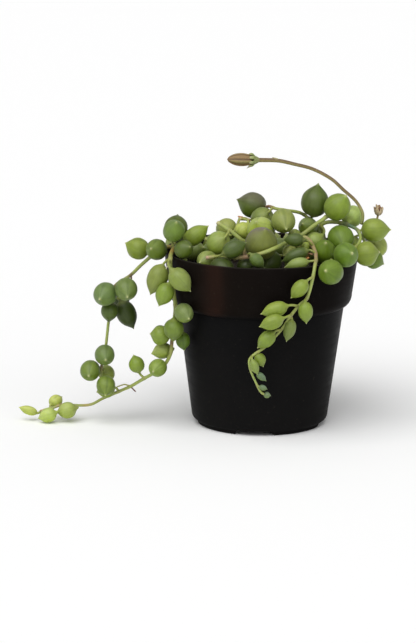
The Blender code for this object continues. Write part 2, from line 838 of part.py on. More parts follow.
def pot_profile():
    """Up the inside from the floor, over the lip, down the outside and in under the floor."""
    band_radius, band_height = BAND_FOOT
    body_radius, body_height = BODY_TOP
    low_radius, low_height = BODY_FOOT
    inside = [
        (0, FLOOR_TOP),
        (low_radius - WALL - FLOOR_ROUND, FLOOR_TOP),
        (low_radius - WALL, FLOOR_TOP + FLOOR_ROUND),
        (body_radius - WALL, body_height + WALL / 2),
        (band_radius - WALL, band_height + WALL / 2),
        (RIM_RADIUS - WALL, POT_HEIGHT - LIP_ROUND),
        (RIM_RADIUS - WALL + LIP_ROUND, POT_HEIGHT),
    ]
    rounded = []
    for step in range(BAND_STEPS + 1):
        angle = math.radians(90 * step / BAND_STEPS)
        rounded.append(
            (
                body_radius + (band_radius - body_radius) * math.cos(angle),
                band_height - (band_height - body_height) * math.sin(angle),
            )
        )
    outside = [(RIM_RADIUS - LIP_ROUND, POT_HEIGHT), (RIM_RADIUS, POT_HEIGHT - LIP_ROUND)]
    outside += rounded
    outside += [
        (low_radius, low_height),
        (low_radius - FLOOR_ROUND / 2, low_height - FLOOR_ROUND),
        (FOOT_RADIUS + FOOT_DRAFT, low_height - 2 * FLOOR_ROUND),
        (FOOT_RADIUS, 0),
        (FOOT_RADIUS - FOOT_WIDTH, 0),
        (FOOT_RADIUS - FOOT_WIDTH - FOOT_DRAFT, FLOOR_UNDER),
        (0, FLOOR_UNDER),
    ]
    return inside + outside


def make_pot(collection, helpers):
    pot = add_object("pot", turned_mesh("pot", pot_profile(), POT_STEPS), collection)
    for turn in (0, math.pi / 2):
        work = bmesh.new()
        bmesh.ops.create_cube(work, size=1)
        for vertex in work.verts:
            taper = NOTCH_TAPER[vertex.co.z > 0]
            vertex.co.x *= NOTCH_WIDTH * taper
            vertex.co.y *= 4 * FOOT_RADIUS
            vertex.co.z = NOTCH_HEIGHT if vertex.co.z > 0 else -1.0
        bmesh.ops.transform(work, matrix=Matrix.Scale(MM, 4), verts=work.verts)
        bmesh.ops.rotate(work, matrix=Matrix.Rotation(NOTCH_TURN + turn, 3, "Z"), verts=work.verts)
        mesh = bpy.data.meshes.new("notch")
        work.to_mesh(mesh)
        work.free()
        add_object("notch", mesh, helpers)
    places = [Vector((0, 0, 0))]
    for quarter in range(4):
        angle = NOTCH_TURN + math.pi / 4 + quarter * math.pi / 2
        places.append(Vector((math.cos(angle), math.sin(angle), 0)) * DRAIN_CIRCLE)
    for place in places:
        drill(helpers, place, DRAIN_RADIUS, FLOOR_UNDER - 1, FLOOR_TOP + 1, DRAIN_SIDES)
    combine(pot, helpers, "DIFFERENCE")
    finish(pot, material("pot_plastic", POT_BLACK, 0.42))


def drill(helpers, place, radius, low, high, sides):
    """A round cutter between two heights, in millimetres."""
    work = bmesh.new()
    bmesh.ops.create_cone(
        work, cap_ends=True, segments=sides, radius1=radius * MM, radius2=radius * MM, depth=(high - low) * MM
    )
    bmesh.ops.translate(work, vec=Vector((place.x, place.y, (low + high) / 2)) * MM, verts=work.verts)
    mesh = bpy.data.meshes.new("drill")
    work.to_mesh(mesh)
    work.free()
    add_object("drill", mesh, helpers)


def make_soil(collection, helpers):
    rim = inner_radius(SOIL_EDGE) - GAP
    ledge_radius, ledge_height = BAND_FOOT
    body_radius, body_height = BODY_TOP
    low_radius, _ = BODY_FOOT
    profile = [(0, SOIL_CROWN)]
    profile += [(rim * share, SOIL_CROWN) for share in SOIL_CIRCLES]
    profile += [
        (rim, SOIL_EDGE),
        (ledge_radius - WALL - GAP, ledge_height + WALL / 2),
        (body_radius - WALL - GAP, body_height + WALL / 2),
        (low_radius - WALL - GAP, FLOOR_TOP + GAP + FLOOR_ROUND),
        (low_radius - WALL - GAP - FLOOR_ROUND, FLOOR_TOP + GAP),
        (0, FLOOR_TOP + GAP),
    ]
    mesh = turned_mesh("soil", profile, SOIL_STEPS)
    for vertex in mesh.vertices:
        x, y, z = vertex.co / MM
        if z > SOIL_EDGE - 0.01:
            vertex.co.z = soil_height(x, y) * MM
    soil = add_object("soil", mesh, collection)
    for vine in VINES:
        x, y = vine.hole
        top = soil_height(x, y)
        radius = vine.runs[0].radii[0] + HOLE_SLACK
        drill(helpers, Vector((x, y, 0)), radius, top - HOLE_DEPTH, top + HOLE_DEPTH, HOLE_SIDES)
    combine(soil, helpers, "DIFFERENCE")
    finish(soil, material("potting_soil", PEAT_BROWN, 0.95))


def make_vine(vine, collection, helpers):
    routes = vine_routes(vine)
    stem = tube_object(vine.name, routes[0], vine.runs[0].radii, collection)
    for index in range(1, len(routes)):
        tube_object(f"{vine.name}_run{index}", routes[index], vine.runs[index].radii, helpers)
    for index, leaf in enumerate(vine.leaves):
        sides = LEAF_SIDES if leaf.width > SMALL_LEAF else SMALL_LEAF_SIDES
        drawn_object(f"{vine.name}_leaf{index}", leaf_stations(leaf, routes), sides, helpers)
    combine(stem, helpers, "UNION")
    keep_main_body(stem)
    finish(stem, material(vine.name + "_green", vine.colour, 0.38))


def spindle(ends, shape):
    """The rings of a shape between two places: (place, radius), in millimetres."""
    start, end = (seen(*place) for place in ends)
    return [(start.lerp(end, share), radius) for share, radius in shape]


def make_flower(collection, helpers):
    stalk = tube_object(
        "flower_stalk",
        smooth_route([seen(*place) for place in FLOWER_STALK], STEM_POINT_EVERY),
        FLOWER_STALK_RADII,
        collection,
    )
    drawn_object("cup", spindle(CUP, CUP_SHAPE), CUP_SIDES, helpers)
    for bract in BRACTS:
        drawn_object("bract", spindle(bract, BRACT_SHAPE), BRACT_SIDES, helpers)
    combine(stalk, helpers, "UNION")
    finish(stalk, material("flower_stalk_olive", STALK_OLIVE, 0.5))
    bud = drawn_object("flower_bud", spindle(BUD, BUD_SHAPE), BUD_SIDES, collection, BUD_RIB)
    finish(bud, material("bud_brown", BUD_BROWN, 0.55))


def make_spent_flower(collection, helpers):
    route = smooth_route([seen(*place) for place in SPENT_STALK], STEM_POINT_EVERY)
    flower = tube_object("spent_flower", route, SPENT_STALK_RADII, collection)
    drawn_object("head", spindle(SPENT_HEAD, SPENT_SHAPE), SPENT_SIDES, helpers, SPENT_RIB)
    combine(flower, helpers, "UNION")
    finish(flower, material("withered_brown", WITHERED_BROWN, 0.7))


def centre_on_origin(collection):
    """Moves everything so that the middle of the whole thing's box stands over the origin."""
    corners = [vertex.co for obj in collection.objects for vertex in obj.data.vertices]
    shift = Vector((0, 0, 0))
    for axis in (0, 1):
        values = [corner[axis] for corner in corners]
        shift[axis] = -(min(values) + max(values)) / 2
    shift.z = -min(corner.z for corner in corners)
    for obj in collection.objects:
        obj.data.transform(Matrix.Translation(shift))


def clear_scene():
    for obj in list(bpy.data.objects):
        bpy.data.objects.remove(obj)


def main():
    clear_scene()
    collection = bpy.data.collections.new(COLLECTION_NAME)
    helpers = bpy.data.collections.new("helpers")
    helpers.hide_render = True
    for made in (collection, helpers):
        bpy.context.scene.collection.children.link(made)
    make_pot(collection, helpers)
    make_soil(collection, helpers)
    for vine in VINES:
        make_vine(vine, collection, helpers)
    make_flower(collection, helpers)
    make_spent_flower(collection, helpers)
    centre_on_origin(collection)


main()
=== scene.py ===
"""The looks of the potted string of raindrops: fine leaves, stems, flower, soil and pot."""

import math
import random
from collections import namedtuple

import bmesh
import bpy
import numpy as np
from mathutils import Matrix, Vector, noise


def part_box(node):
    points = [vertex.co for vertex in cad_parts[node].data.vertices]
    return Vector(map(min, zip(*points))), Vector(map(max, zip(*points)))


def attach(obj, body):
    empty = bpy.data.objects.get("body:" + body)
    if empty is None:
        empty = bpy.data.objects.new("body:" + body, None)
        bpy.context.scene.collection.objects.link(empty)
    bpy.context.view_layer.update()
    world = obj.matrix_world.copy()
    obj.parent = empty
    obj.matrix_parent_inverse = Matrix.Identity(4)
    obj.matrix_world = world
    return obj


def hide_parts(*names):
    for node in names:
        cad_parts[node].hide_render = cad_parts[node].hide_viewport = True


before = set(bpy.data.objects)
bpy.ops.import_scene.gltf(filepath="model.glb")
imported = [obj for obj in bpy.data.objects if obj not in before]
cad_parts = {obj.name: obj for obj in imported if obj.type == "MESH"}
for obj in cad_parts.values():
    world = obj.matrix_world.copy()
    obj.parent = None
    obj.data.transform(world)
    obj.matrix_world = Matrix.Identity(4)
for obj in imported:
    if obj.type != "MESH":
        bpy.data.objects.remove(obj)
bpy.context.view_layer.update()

MM = 0.001
POT_LOW, POT_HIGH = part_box("pot")
AXIS = Vector(((POT_LOW[0] + POT_HIGH[0]) / 2, (POT_LOW[1] + POT_HIGH[1]) / 2, 0))

# The pot, in millimetres from its own axis
RIM_RADIUS = 38.0
POT_HEIGHT = 68.7
BAND_FOOT = (35.74, 52.15)
BODY_TOP = (32.67, 47.7)
BODY_FOOT = (26.75, 3.17)
FOOT_RADIUS = 24.7
FOOT_WIDTH = 1.8
FLOOR_UNDER = 2.3
FLOOR_TOP = 3.4
WALL = 1.1
POT_STEPS = 144
NOTCH_HEIGHT = 1.8
NOTCH_WIDTH = 15.5
NOTCH_TURN = math.radians(-6.0)
DRAIN_RADIUS = 2.6
DRAIN_CIRCLE = 15.5
SOIL_EDGE = 59.6
SOIL_CROWN = 62.2
SOIL_CRUMB = 0.7
GAP = 0.3
HOLE_DEPTH = 7.0

# The viewpoint that the plant is laid out from. A point is named by the pixel where it shows from there
# and by its depth: the millimetres that it lies behind the plane through the pot's axis that faces it.
PICTURE = (416, 643)
FOCAL_PIXELS = 3036
VIEW_DISTANCE = 1193
VIEW_ELEVATION = math.radians(12.22)
VIEW_ROLL = math.radians(0.431)
VIEW_TARGET = Vector((-20.64, 0, 39.82))

# A leaf's outline: (place along it from the belly's middle, radius), in belly radii
LEAF_BACK_PROFILE = ((-0.93, 0.40), (-0.84, 0.58), (-0.68, 0.76), (-0.46, 0.90), (-0.22, 0.98), (0.0, 1.0))
LEAF_FRONT_PROFILE = (
    (0.25, 0.985), (0.48, 0.925), (0.68, 0.82), (0.86, 0.675), (1.01, 0.515), (1.14, 0.36), (1.25, 0.225),
    (1.34, 0.125), (1.41, 0.066), (1.465, 0.038),
)
PROFILE_EVERY = 0.09
LEAF_TIP = 1.5
LEAF_SIDES = 28
PETIOLE_RADIUS = 0.45
ROOT_BEHIND = 0.8
ROOT_REACH = 3.0
LONG_LEAF = 1.05
PETIOLE_RINGS = 7
STEM_SIDES = 12
THIN_SIDES = 10
STEM_POINT_EVERY = 0.7

# A leaf: the middle and width of its belly, its tip, whether the tip lies further back (1), nearer (-1) or
# neither, and its tone. A run: the points of a stretch of stem and its radii at both ends. A vine: its name,
# the x and y of its hole in the soil, its runs and its leaves.
Leaf = namedtuple("Leaf", "px py depth width tip_px tip_py lean tone")
Run = namedtuple("Run", "points radii")
Vine = namedtuple("Vine", "name hole runs leaves")

# Each tone: the leaf's colour, the blush on its upper side, and how pale its tip is. The darker tones (shade,
# deep, gloom) and the three boat tones, lit and shaded copies of one folded leaf, are partly painted shade
# for leaves that lie in shadow among the others. The blush is partly a purple tint and partly a painted
# highlight that makes the upper side lighter and greyer.
LEAF_TONES = {
    "yellow": ((0.420, 0.500, 0.105), None, 0.6),
    "spring": ((0.365, 0.490, 0.115), None, 0.6),
    "lime": ((0.310, 0.375, 0.080), None, 0.7),
    "light": ((0.250, 0.310, 0.065), None, 0.7),
    "moss": ((0.100, 0.165, 0.012), None, 1.0),
    "fresh": ((0.200, 0.255, 0.052), None, 0.7),
    "even": ((0.158, 0.208, 0.046), None, 0.7),
    "bright": ((0.190, 0.260, 0.032), None, 1.0),
    "green": ((0.130, 0.186, 0.022), None, 0.8),
    "shade": ((0.116, 0.176, 0.036), None, 0.8),
    "deep": ((0.078, 0.116, 0.015), None, 0.5),
    "gloom": ((0.037, 0.060, 0.006), None, 0.4),
    "mint": ((0.125, 0.185, 0.082), None, 0.5),
    "boat": ((0.058, 0.092, 0.014), None, 0.3),
    "boat_mid": ((0.095, 0.150, 0.028), None, 0.3),
    "boat_light": ((0.260, 0.335, 0.045), None, 0.4),
    "purple": ((0.082, 0.118, 0.012), (0.108, 0.108, 0.052), 0.2),
    "dusk": ((0.080, 0.122, 0.010), (0.130, 0.135, 0.052), 0.4),
    "mauve": ((0.140, 0.160, 0.044), (0.155, 0.128, 0.098), 0.2),
}
LEAF_TIP_TONE = (0.50, 0.52, 0.24)
PETIOLE_TONE = (0.29, 0.32, 0.08)
STEM_TONE = (0.325, 0.350, 0.090)
STEM_FRESH_TONE = (0.30, 0.38, 0.10)
JOINT_TONE = (0.30, 0.25, 0.10)

# What the pot's plastic shows: its body, the band from left to right, a painted highlight along the lip, a
# painted reddish-brown reflection on the front of the band, dust below
POT_TONE = (0.0054, 0.0054, 0.0056)
BAND_TONES = ((0.0068, 0.0050, 0.0040), (0.0042, 0.0032, 0.0028))
LIP_HIGHLIGHT_TONE = (0.021, 0.019, 0.015)
BAND_REFLECTION_TONE = (0.027, 0.0115, 0.0075)
BAND_REFLECTION_AT, BAND_REFLECTION_WIDTH = -18.5, 3.4
FOOT_DUST_TONE = (0.012, 0.011, 0.010)
DUST_TONE = (0.016, 0.014, 0.013, 1)
SPECK_TONE = (0.040, 0.034, 0.028, 1)
SHARP_EDGE = math.radians(35)

# The soil's surface and its loose crumbs: dark peat, with a few wood chips and pale grains
SOIL_CIRCLES = 64
SOIL_STEPS = 176
PEAT_TONES = ((0.012, 0.009, 0.007), (0.046, 0.033, 0.023))
CRUMBS = 430
CRUMB_SHAPES = 5
CRUMB_TONES = ((0.014, 0.010, 0.008), (0.070, 0.050, 0.034))
CHIP_TONE = (0.12, 0.070, 0.035)
GRAIN_TONE = (0.30, 0.26, 0.20)

# The studio: the floor's half width in metres, the sky, and each light's way, strength and spread in degrees
FLOOR_REACH = 15.0
FLOOR_TONE = (0.96, 0.96, 0.96, 1)
SKY_STRENGTH = 0.40
LIGHTS = {"key": ((0.36, 0.62, -1.0), 2.15, 60), "fill": ((-0.5, 0.9, -0.45), 0.75, 80)}
SENSOR_WIDTH = 36.0

# The stems with their leaves, as part.py has them
VINES = [
    Vine("stem_left_outer", (-29.0, -4.0), [
        Run([
            (180, 246.5, -4), (171, 246.6, -4), (164.5, 247.2, -4), (157, 251.4, -3.8), (149, 258, -3.6),
            (140, 266, -4), (133, 273, -4.2), (126, 278.5, -4), (118, 283, -3), (113.5, 289, -1.6),
            (112, 300, -0.8), (110.3, 312, -1), (108.4, 323, -1.7), (107.2, 334, -2.5), (106, 345, -3.2),
            (104.3, 355, -3.8), (101.4, 366.5, -4.6), (101.5, 373, -5), (104, 378, -5.4),
        ], (0.8, 0.55)),
    ], [
        Leaf(156.8, 249.5, -10.4, 8.2, 150.4, 248.6, -1, "green"),
        Leaf(138.2, 248.6, -2.5, 8.6, 124.7, 242.7, 0, "bright"),
        Leaf(126.1, 288.9, -13.2, 8.7, 127.6, 297.7, -1, "shade"),
        Leaf(105.6, 293.9, -9.4, 9.2, 99.1, 299.7, -1, "shade"),
        Leaf(109.6, 310.5, -5.0, 6.7, 108.6, 323.0, 0, "deep"),
        Leaf(125.8, 312.6, 0.5, 8.0, 134.0, 329.3, 0, "gloom"),
        Leaf(120.5, 298.5, 5.5, 7.0, 125.0, 306.0, 1, "gloom"),
        Leaf(104.7, 354.7, -9.0, 7.9, 105.9, 360.7, -1, "shade"),
        Leaf(90.3, 370.3, -7.0, 8.0, 88.5, 376.5, -1, "green"),
        Leaf(106.4, 373.2, -0.2, 6.5, 110.5, 379.0, 1, "light"),
        Leaf(105.8, 385.0, -10.2, 7.4, 105.3, 396.2, -1, "green"),
    ]),
    Vine("stem_left_long", (-27.5, -12.0), [
        Run([
            (180.0, 250.5, -12.5), (174.5, 248.5, -13.6), (171.3, 253.2, -15.6), (170.4, 258.3, -17.8),
            (170.1, 262.8, -18.6), (171.5, 275, -17.2), (173, 287, -17.2), (174.3, 297, -17.0),
            (175.4, 304.8, -16.8), (175, 316, -16.6), (173.2, 330, -16.4), (171.8, 342.7, -16.4),
            (170.6, 353.4, -16.0), (165.6, 363.6, -15.2), (158, 370.2, -13.6), (151.4, 374.5, -11.8),
            (143.2, 378.9, -9.4), (131, 386.1, -6.0), (123.5, 389.4, -3.6), (113, 394.0, -0.8),
            (102.4, 398.6, 0.4), (91, 404.4, 0.2), (78, 405.4, -0.8), (67, 404.8, -1.6), (60, 405, -2.4),
            (54.4, 407.4, -3.0), (45.7, 409.4, -3.4), (40.6, 411.3, -3.6),
        ], (0.95, 0.5)),
    ], [
        Leaf(173.8, 231.2, -16.6, 8.4, 176.8, 221.4, -1, "shade"),
        Leaf(175.8, 228.8, -6.4, 9.3, 177.7, 214.0, 1, "deep"),
        Leaf(194.2, 236.2, -10.0, 6.9, 209.0, 225.3, 0, "bright"),
        Leaf(183.5, 249.4, -18.0, 7.2, 190.7, 246.8, -1, "deep"),
        Leaf(157.7, 277.3, -17.2, 8.1, 150.1, 295.3, 0, "fresh"),
        Leaf(179.4, 278.8, -27.4, 7.8, 191.0, 291.9, 0, "fresh"),
        Leaf(165.0, 292.9, -21.8, 7.0, 158.6, 306.7, 0, "bright"),
        Leaf(183.8, 312.7, -24.8, 7.3, 189.5, 319.4, -1, "even"),
        Leaf(173.8, 328.8, -22.4, 7.8, 173.6, 342.0, 0, "green"),
        Leaf(160.0, 335.0, -16.6, 7.8, 149.5, 333.7, 0, "bright"),
        Leaf(163.2, 350.6, -12.0, 6.4, 150.8, 353.9, 0, "lime"),
        Leaf(182.9, 339.8, -16.4, 5.6, 184.2, 351.1, 0, "moss"),
        Leaf(158.0, 367.7, -18.4, 7.0, 152.6, 372.0, -1, "bright"),
        Leaf(136.8, 364.9, -9.6, 6.1, 133.4, 354.4, 0, "bright"),
        Leaf(106.5, 389.6, -2.6, 6.5, 96.2, 392.2, 0, "bright"),
        Leaf(67.6, 410.2, -5.6, 6.6, 56.0, 412.6, 0, "lime"),
        Leaf(55.4, 401.4, -0.4, 5.2, 62.4, 396.4, 1, "yellow"),
        Leaf(48.6, 414.9, -7.2, 5.8, 37.6, 418.6, 0, "yellow"),
        Leaf(29.6, 410.6, -3.8, 3.6, 18.4, 407.0, 0, "yellow"),
    ]),
    Vine("stem_front", (15.6, -14.6), [
        Run([
            (299.5, 246, -15.2), (301.5, 240.2, -15.4), (304.9, 237.3, -15.8), (308.5, 239.6, -16.6),
            (311.6, 244.3, -18.4), (315.2, 252, -22.4), (316, 260, -28.4), (315.2, 264.3, -33.4),
            (313.5, 274, -36.2), (309.8, 290, -37), (306.3, 299.3, -37.4), (300.6, 304, -37.7),
            (292.5, 313.3, -38), (283.3, 327, -38.3), (274, 337.8, -38.5), (265, 347, -38.8),
            (253.5, 355, -39.2), (249.2, 361, -39.6), (251, 371.4, -39.6), (255.7, 382.2, -39.2),
            (260.3, 391.3, -38.8), (264.0, 394.3, -38.6),
        ], (0.9, 0.42)),
    ], [
        Leaf(295.6, 239.8, -21.6, 5.0, 282.8, 239.6, 0, "boat"),
        Leaf(297.0, 254.9, -24.6, 5.1, 281.0, 261.6, 0, "boat"),
        Leaf(298.6, 264.0, -29.4, 5.0, 284.0, 267.4, 0, "fresh"),
        Leaf(305.8, 246.4, -18.0, 3.4, 303.0, 250.0, -1, "boat_light"),
        Leaf(300.2, 288.1, -38.8, 5.7, 290.6, 298.4, 0, "bright"),
        Leaf(276.3, 309.2, -40.2, 5.9, 260.2, 314.2, 0, "bright"),
        Leaf(273.2, 321.8, -43.6, 5.7, 258.8, 327.0, 0, "bright"),
        Leaf(305.6, 310.8, -39.4, 5.6, 306.4, 324.0, 0, "bright"),
        Leaf(267.2, 338.8, -40.6, 5.8, 257.2, 348.4, 0, "bright"),
        Leaf(289.6, 328.6, -38.0, 4.8, 286.3, 342.0, 0, "even"),
        Leaf(259.8, 359.0, -38.6, 4.4, 263.4, 367.2, 0, "bright"),
        Leaf(254.4, 366.0, -41.4, 3.3, 257.8, 375.0, 0, "fresh"),
        Leaf(260.8, 376.2, -40.2, 2.6, 266.4, 381.2, 0, "mint"),
        Leaf(262.6, 387.6, -39.6, 2.2, 267.6, 389.4, 0, "mint"),
        Leaf(266.8, 395.0, -38.4, 2.4, 271.0, 395.8, 0, "mint"),
    ]),
    Vine("stem_long", (-12.6, -19.2), [
        Run([
            (229, 261.5, -20.2), (229.8, 257.2, -22.6), (236.5, 257.8, -27.0), (247, 256.8, -28.2),
            (261, 253.6, -28.6), (273.5, 248.8, -27.2), (279.5, 246, -21.6), (285, 243.2, -17.2),
            (295, 238.2, -12.4), (303.8, 233.4, -10.0), (314.3, 225.3, -9.2), (323, 219.5, -9.0),
            (326.5, 216.5, -8.4),
        ], (0.85, 0.8)),
        Run([(229.8, 257.2, -22.6), (218, 256.8, -23.8), (206.2, 257.8, -24.8)], (0.8, 0.75)),
    ], [
        Leaf(232.8, 249.2, -28.6, 6.6, 247.0, 242.2, 0, "boat"),
        Leaf(256.4, 260.0, -31.8, 4.9, 264.2, 268.2, 0, "boat_mid"),
        Leaf(246.0, 266.4, -24.8, 7.0, 251.0, 273.0, 0, "gloom"),
        Leaf(337.0, 207.4, -8.6, 10.2, 346.9, 194.5, -1, "bright"),
    ]),
    Vine("stem_upper", (18.0, 3.0), [
        Run([
            (311, 235, 3), (310, 225, 3.4), (307, 217.2, 2.4), (301, 213.2, -0.6), (294.8, 211.5, -3.2),
            (285, 210.2, -6.2), (276, 208.6, -4.6), (269.8, 206.4, 0), (266.5, 207, 4.6),
        ], (0.8, 0.6)),
    ], [
        Leaf(253.2, 205.2, 7.2, 10.2, 236.4, 199.2, 0, "purple"),
        Leaf(262.6, 218.6, -0.4, 9.0, 256.0, 226.0, 1, "even"),
        Leaf(283.3, 220.6, -12.8, 9.2, 286.5, 230.0, -1, "fresh"),
        Leaf(314.8, 202.6, -1.4, 10.9, 318.4, 182.8, 0, "dusk"),
        Leaf(308.2, 226.9, -3.2, 7.4, 302.0, 223.5, -1, "even"),
        Leaf(313.8, 231.0, 7.0, 6.0, 318.6, 236.0, 1, "green"),
    ]),
    Vine("stem_centre", (-6.5, -12.5), [
        Run([
            (245, 244, -13.4), (241.4, 240.2, -14.2), (231, 231.6, -13.6), (217.2, 222.4, -12.2),
        ], (0.95, 0.8)),
        Run([
            (245.5, 243.5, -13.2), (250.4, 237, -3), (250.0, 228, 0.6), (248.6, 221.4, 1.2),
            (246, 218.8, 0.2), (239.8, 218.4, -1.6),
        ], (0.7, 0.6)),
    ], [
        Leaf(261.4, 231.2, -9.6, 10.8, 256.0, 221.5, -1, "lime"),
        Leaf(261.0, 244.2, -20.6, 12.4, 265.7, 229.0, -1, "mauve"),
        Leaf(243.2, 230.8, -4.6, 6.8, 238.0, 239.0, 0, "yellow"),
        Leaf(218.6, 243.2, -13.4, 9.4, 211.0, 250.0, 1, "light"),
        Leaf(227.0, 229.4, 0.4, 8.4, 223.0, 221.0, 1, "light"),
    ]),
    Vine("stem_right", (27.0, 0.0), [
        Run([
            (323, 233, -1), (321, 225.5, -2.4), (327, 222.2, -3.2), (336, 222.2, -3.6), (344, 223.6, -4.4),
            (350.4, 226, -5.4), (357.5, 230, -6.8), (360.5, 237, -9.4), (358, 245, -13.2), (352.5, 249, -18),
        ], (0.9, 0.65)),
        Run([(358.8, 232.5, -7.6), (363.5, 239.5, -3.6), (366.5, 246, -1.8), (366, 251, -3.6)], (0.65, 0.5)),
    ], [
        Leaf(352.0, 216.6, 0.8, 8.4, 357.0, 208.0, 1, "spring"),
        Leaf(314.6, 241.8, -8.2, 7.6, 306.0, 249.0, 0, "light"),
        Leaf(340.5, 238.1, -10.9, 10.2, 343.8, 247.2, -1, "moss"),
        Leaf(345.6, 254.9, -27.6, 9.4, 352.8, 253.1, -1, "moss"),
        Leaf(366.9, 253.6, -14.6, 9.6, 380.2, 252.0, 0, "bright"),
        Leaf(373.6, 230.0, -7.4, 9.4, 391.5, 229.7, 0, "bright"),
        Leaf(376.8, 246.0, 1.8, 8.3, 380.0, 252.0, 1, "light"),
        Leaf(373.6, 259.4, -6.2, 7.4, 384.4, 264.4, 0, "moss"),
        Leaf(352.6, 242.6, -3.8, 5.6, 350.0, 250.0, 1, "lime"),
    ]),
    Vine("stem_right_front", (27.0, -12.5), [
        Run([
            (330.5, 263, -14.6), (330.5, 261.8, -18), (330.8, 260.6, -22.5), (331.4, 260.4, -27.4),
            (333, 264, -30),
        ], (0.8, 0.6)),
    ], [
        Leaf(323.6, 252.2, -16.4, 9.2, 326.0, 242.0, -1, "moss"),
        Leaf(331.0, 272.1, -34.6, 9.5, 325.0, 270.6, -1, "moss"),
    ]),
    Vine("stem_left_front", (-18.6, -12.4), [
        Run([(215.5, 264, -12.8), (216.5, 261.5, -15.0), (217.5, 263, -18.4)], (0.75, 0.6)),
    ], [
        Leaf(207.5, 260.8, -19.0, 7.8, 199.0, 263.0, -1, "fresh"),
        Leaf(221.6, 268.9, -27.4, 9.2, 231.0, 270.6, -1, "gloom"),
    ]),
    Vine("stem_middle", (9.5, -12.0), [
        Run([(286.5, 252, -12), (287.5, 243, -11.6), (291, 240, -10.2)], (0.75, 0.6)),
    ], [
        Leaf(294.5, 236.5, -6.6, 5.6, 296.0, 231.0, 1, "light"),
        Leaf(290.0, 252.2, -15.2, 5.6, 283.0, 256.0, -1, "light"),
        Leaf(270.6, 261.6, -13.6, 8.6, 263.5, 270.0, -1, "deep"),
    ]),
    Vine("stem_back_left", (-14.0, 9.0), [
        Run([
            (224.1, 250.9, 11.0), (214.0, 243.9, 15.0), (203.9, 237.6, 20.0), (196.5, 232.5, 25.5),
            (191.6, 230.9, 30.0), (188.8, 236.7, 32.8), (188.7, 252.4, 33.2), (190.1, 269.8, 32.5),
        ], (0.85, 0.55)),
    ], [
        Leaf(212.7, 252.2, 8.0, 8.0, 202.3, 247.0, -1, "green"),
        Leaf(229.1, 246.6, 15.3, 8.0, 234.2, 234.9, 1, "shade"),
        Leaf(195.0, 250.7, 11.0, 7.6, 181.4, 253.3, 1, "even"),
        Leaf(212.7, 244.7, 23.8, 7.6, 217.9, 234.5, 1, "green"),
        Leaf(176.2, 242.4, 28.2, 7.6, 163.7, 246.1, 1, "fresh"),
        Leaf(200.2, 247.7, 38.2, 8.0, 208.2, 253.8, 1, "green"),
        Leaf(177.7, 266.8, 33.5, 7.4, 167.8, 274.3, 1, "even"),
        Leaf(192.5, 281.9, 35.2, 7.0, 193.9, 293.1, 1, "green"),
    ]),
    Vine("stem_back_middle", (1.0, 12.0), [
        Run([
            (263.3, 248.5, 14.0), (260.6, 241.2, 19.0), (255.4, 234.6, 25.0), (250.2, 229.6, 31.0),
            (247.6, 226.9, 36.5), (246.7, 228.9, 40.8), (246.0, 239.9, 42.8), (247.0, 258.0, 43.0),
            (249.3, 280.0, 42.5), (251.5, 301.9, 42.0), (252.6, 320.2, 41.5),
        ], (0.9, 0.5)),
    ], [
        Leaf(250.7, 249.6, 11.5, 8.4, 241.3, 246.1, -1, "shade"),
        Leaf(277.0, 248.4, 17.0, 8.0, 289.0, 239.5, 0, "even"),
        Leaf(240.3, 244.1, 24.0, 8.2, 227.3, 236.0, 0, "green"),
        Leaf(270.2, 242.2, 27.5, 8.4, 280.5, 235.2, 1, "fresh"),
        Leaf(231.2, 236.9, 30.4, 6.6, 224.2, 229.8, 1, "green"),
        Leaf(263.1, 241.8, 46.8, 8.0, 272.3, 246.3, 1, "even"),
        Leaf(231.0, 253.8, 46.5, 7.6, 222.4, 260.7, 1, "green"),
        Leaf(262.7, 278.4, 46.0, 7.4, 271.2, 285.8, 1, "shade"),
        Leaf(239.3, 295.1, 43.5, 6.8, 232.3, 303.6, 1, "even"),
        Leaf(256.3, 317.4, 42.0, 6.2, 258.4, 327.6, 1, "green"),
    ]),
    Vine("stem_back_right", (15.0, 11.0), [
        Run([
            (299.9, 250.3, 13.5), (303.4, 241.5, 19.0), (306.7, 234.3, 25.5), (308.9, 229.8, 31.0),
            (310.7, 229.6, 35.4), (311.9, 236.5, 38.0), (311.6, 250.9, 38.4), (310.9, 268.2, 37.8),
        ], (0.85, 0.55)),
    ], [
        Leaf(291.6, 244.0, 25.5, 7.6, 285.4, 233.3, 1, "fresh"),
        Leaf(318.4, 249.0, 19.0, 8.0, 328.5, 240.7, 1, "green"),
        Leaf(316.8, 254.3, 8.0, 7.4, 325.9, 249.2, -1, "even"),
        Leaf(332.9, 251.7, 12.0, 7.2, 345.7, 246.8, 0, "green"),
        Leaf(296.7, 244.5, 41.4, 7.6, 286.8, 249.2, 1, "shade"),
        Leaf(330.5, 249.7, 36.0, 7.6, 340.5, 254.2, 1, "even"),
        Leaf(304.9, 276.3, 41.0, 7.0, 301.9, 287.2, 1, "green"),
    ]),
]

# The flower: its stalk arches over the crown to a small cup with a ring of lobes. Places are
# (px, py, depth), shapes are (share of the length, radius in millimetres).
FLOWER_STALK = [
    (361.4, 224.2, -4.4), (362.7, 218.8, -4.8), (362.1, 211.5, -5), (355.4, 200.6, -3), (343.3, 189.7, -2),
    (331.2, 178.8, -1), (313, 169.1, 0), (294.8, 164.2, -1), (277.9, 160.6, -2.5), (258.5, 160, -4),
]
FLOWER_STALK_RADII = (0.58, 0.72)
CUP = ((260.0, 160.0, -3.9), (252.4, 159.9, -4.5))
CUP_SHAPE = ((0.0, 0.0), (0.08, 0.7), (0.55, 1.55), (0.92, 1.85), (1.0, 0.0))
CUP_LINES = 8
LOBES = 7
LOBE_LENGTH = 2.6
BRACTS = [
    ((281.5, 161.6, -2.2), (271.5, 157.0, -3.2)),
    ((256.0, 162.0, -4.2), (246.4, 168.6, -4.6)),
]
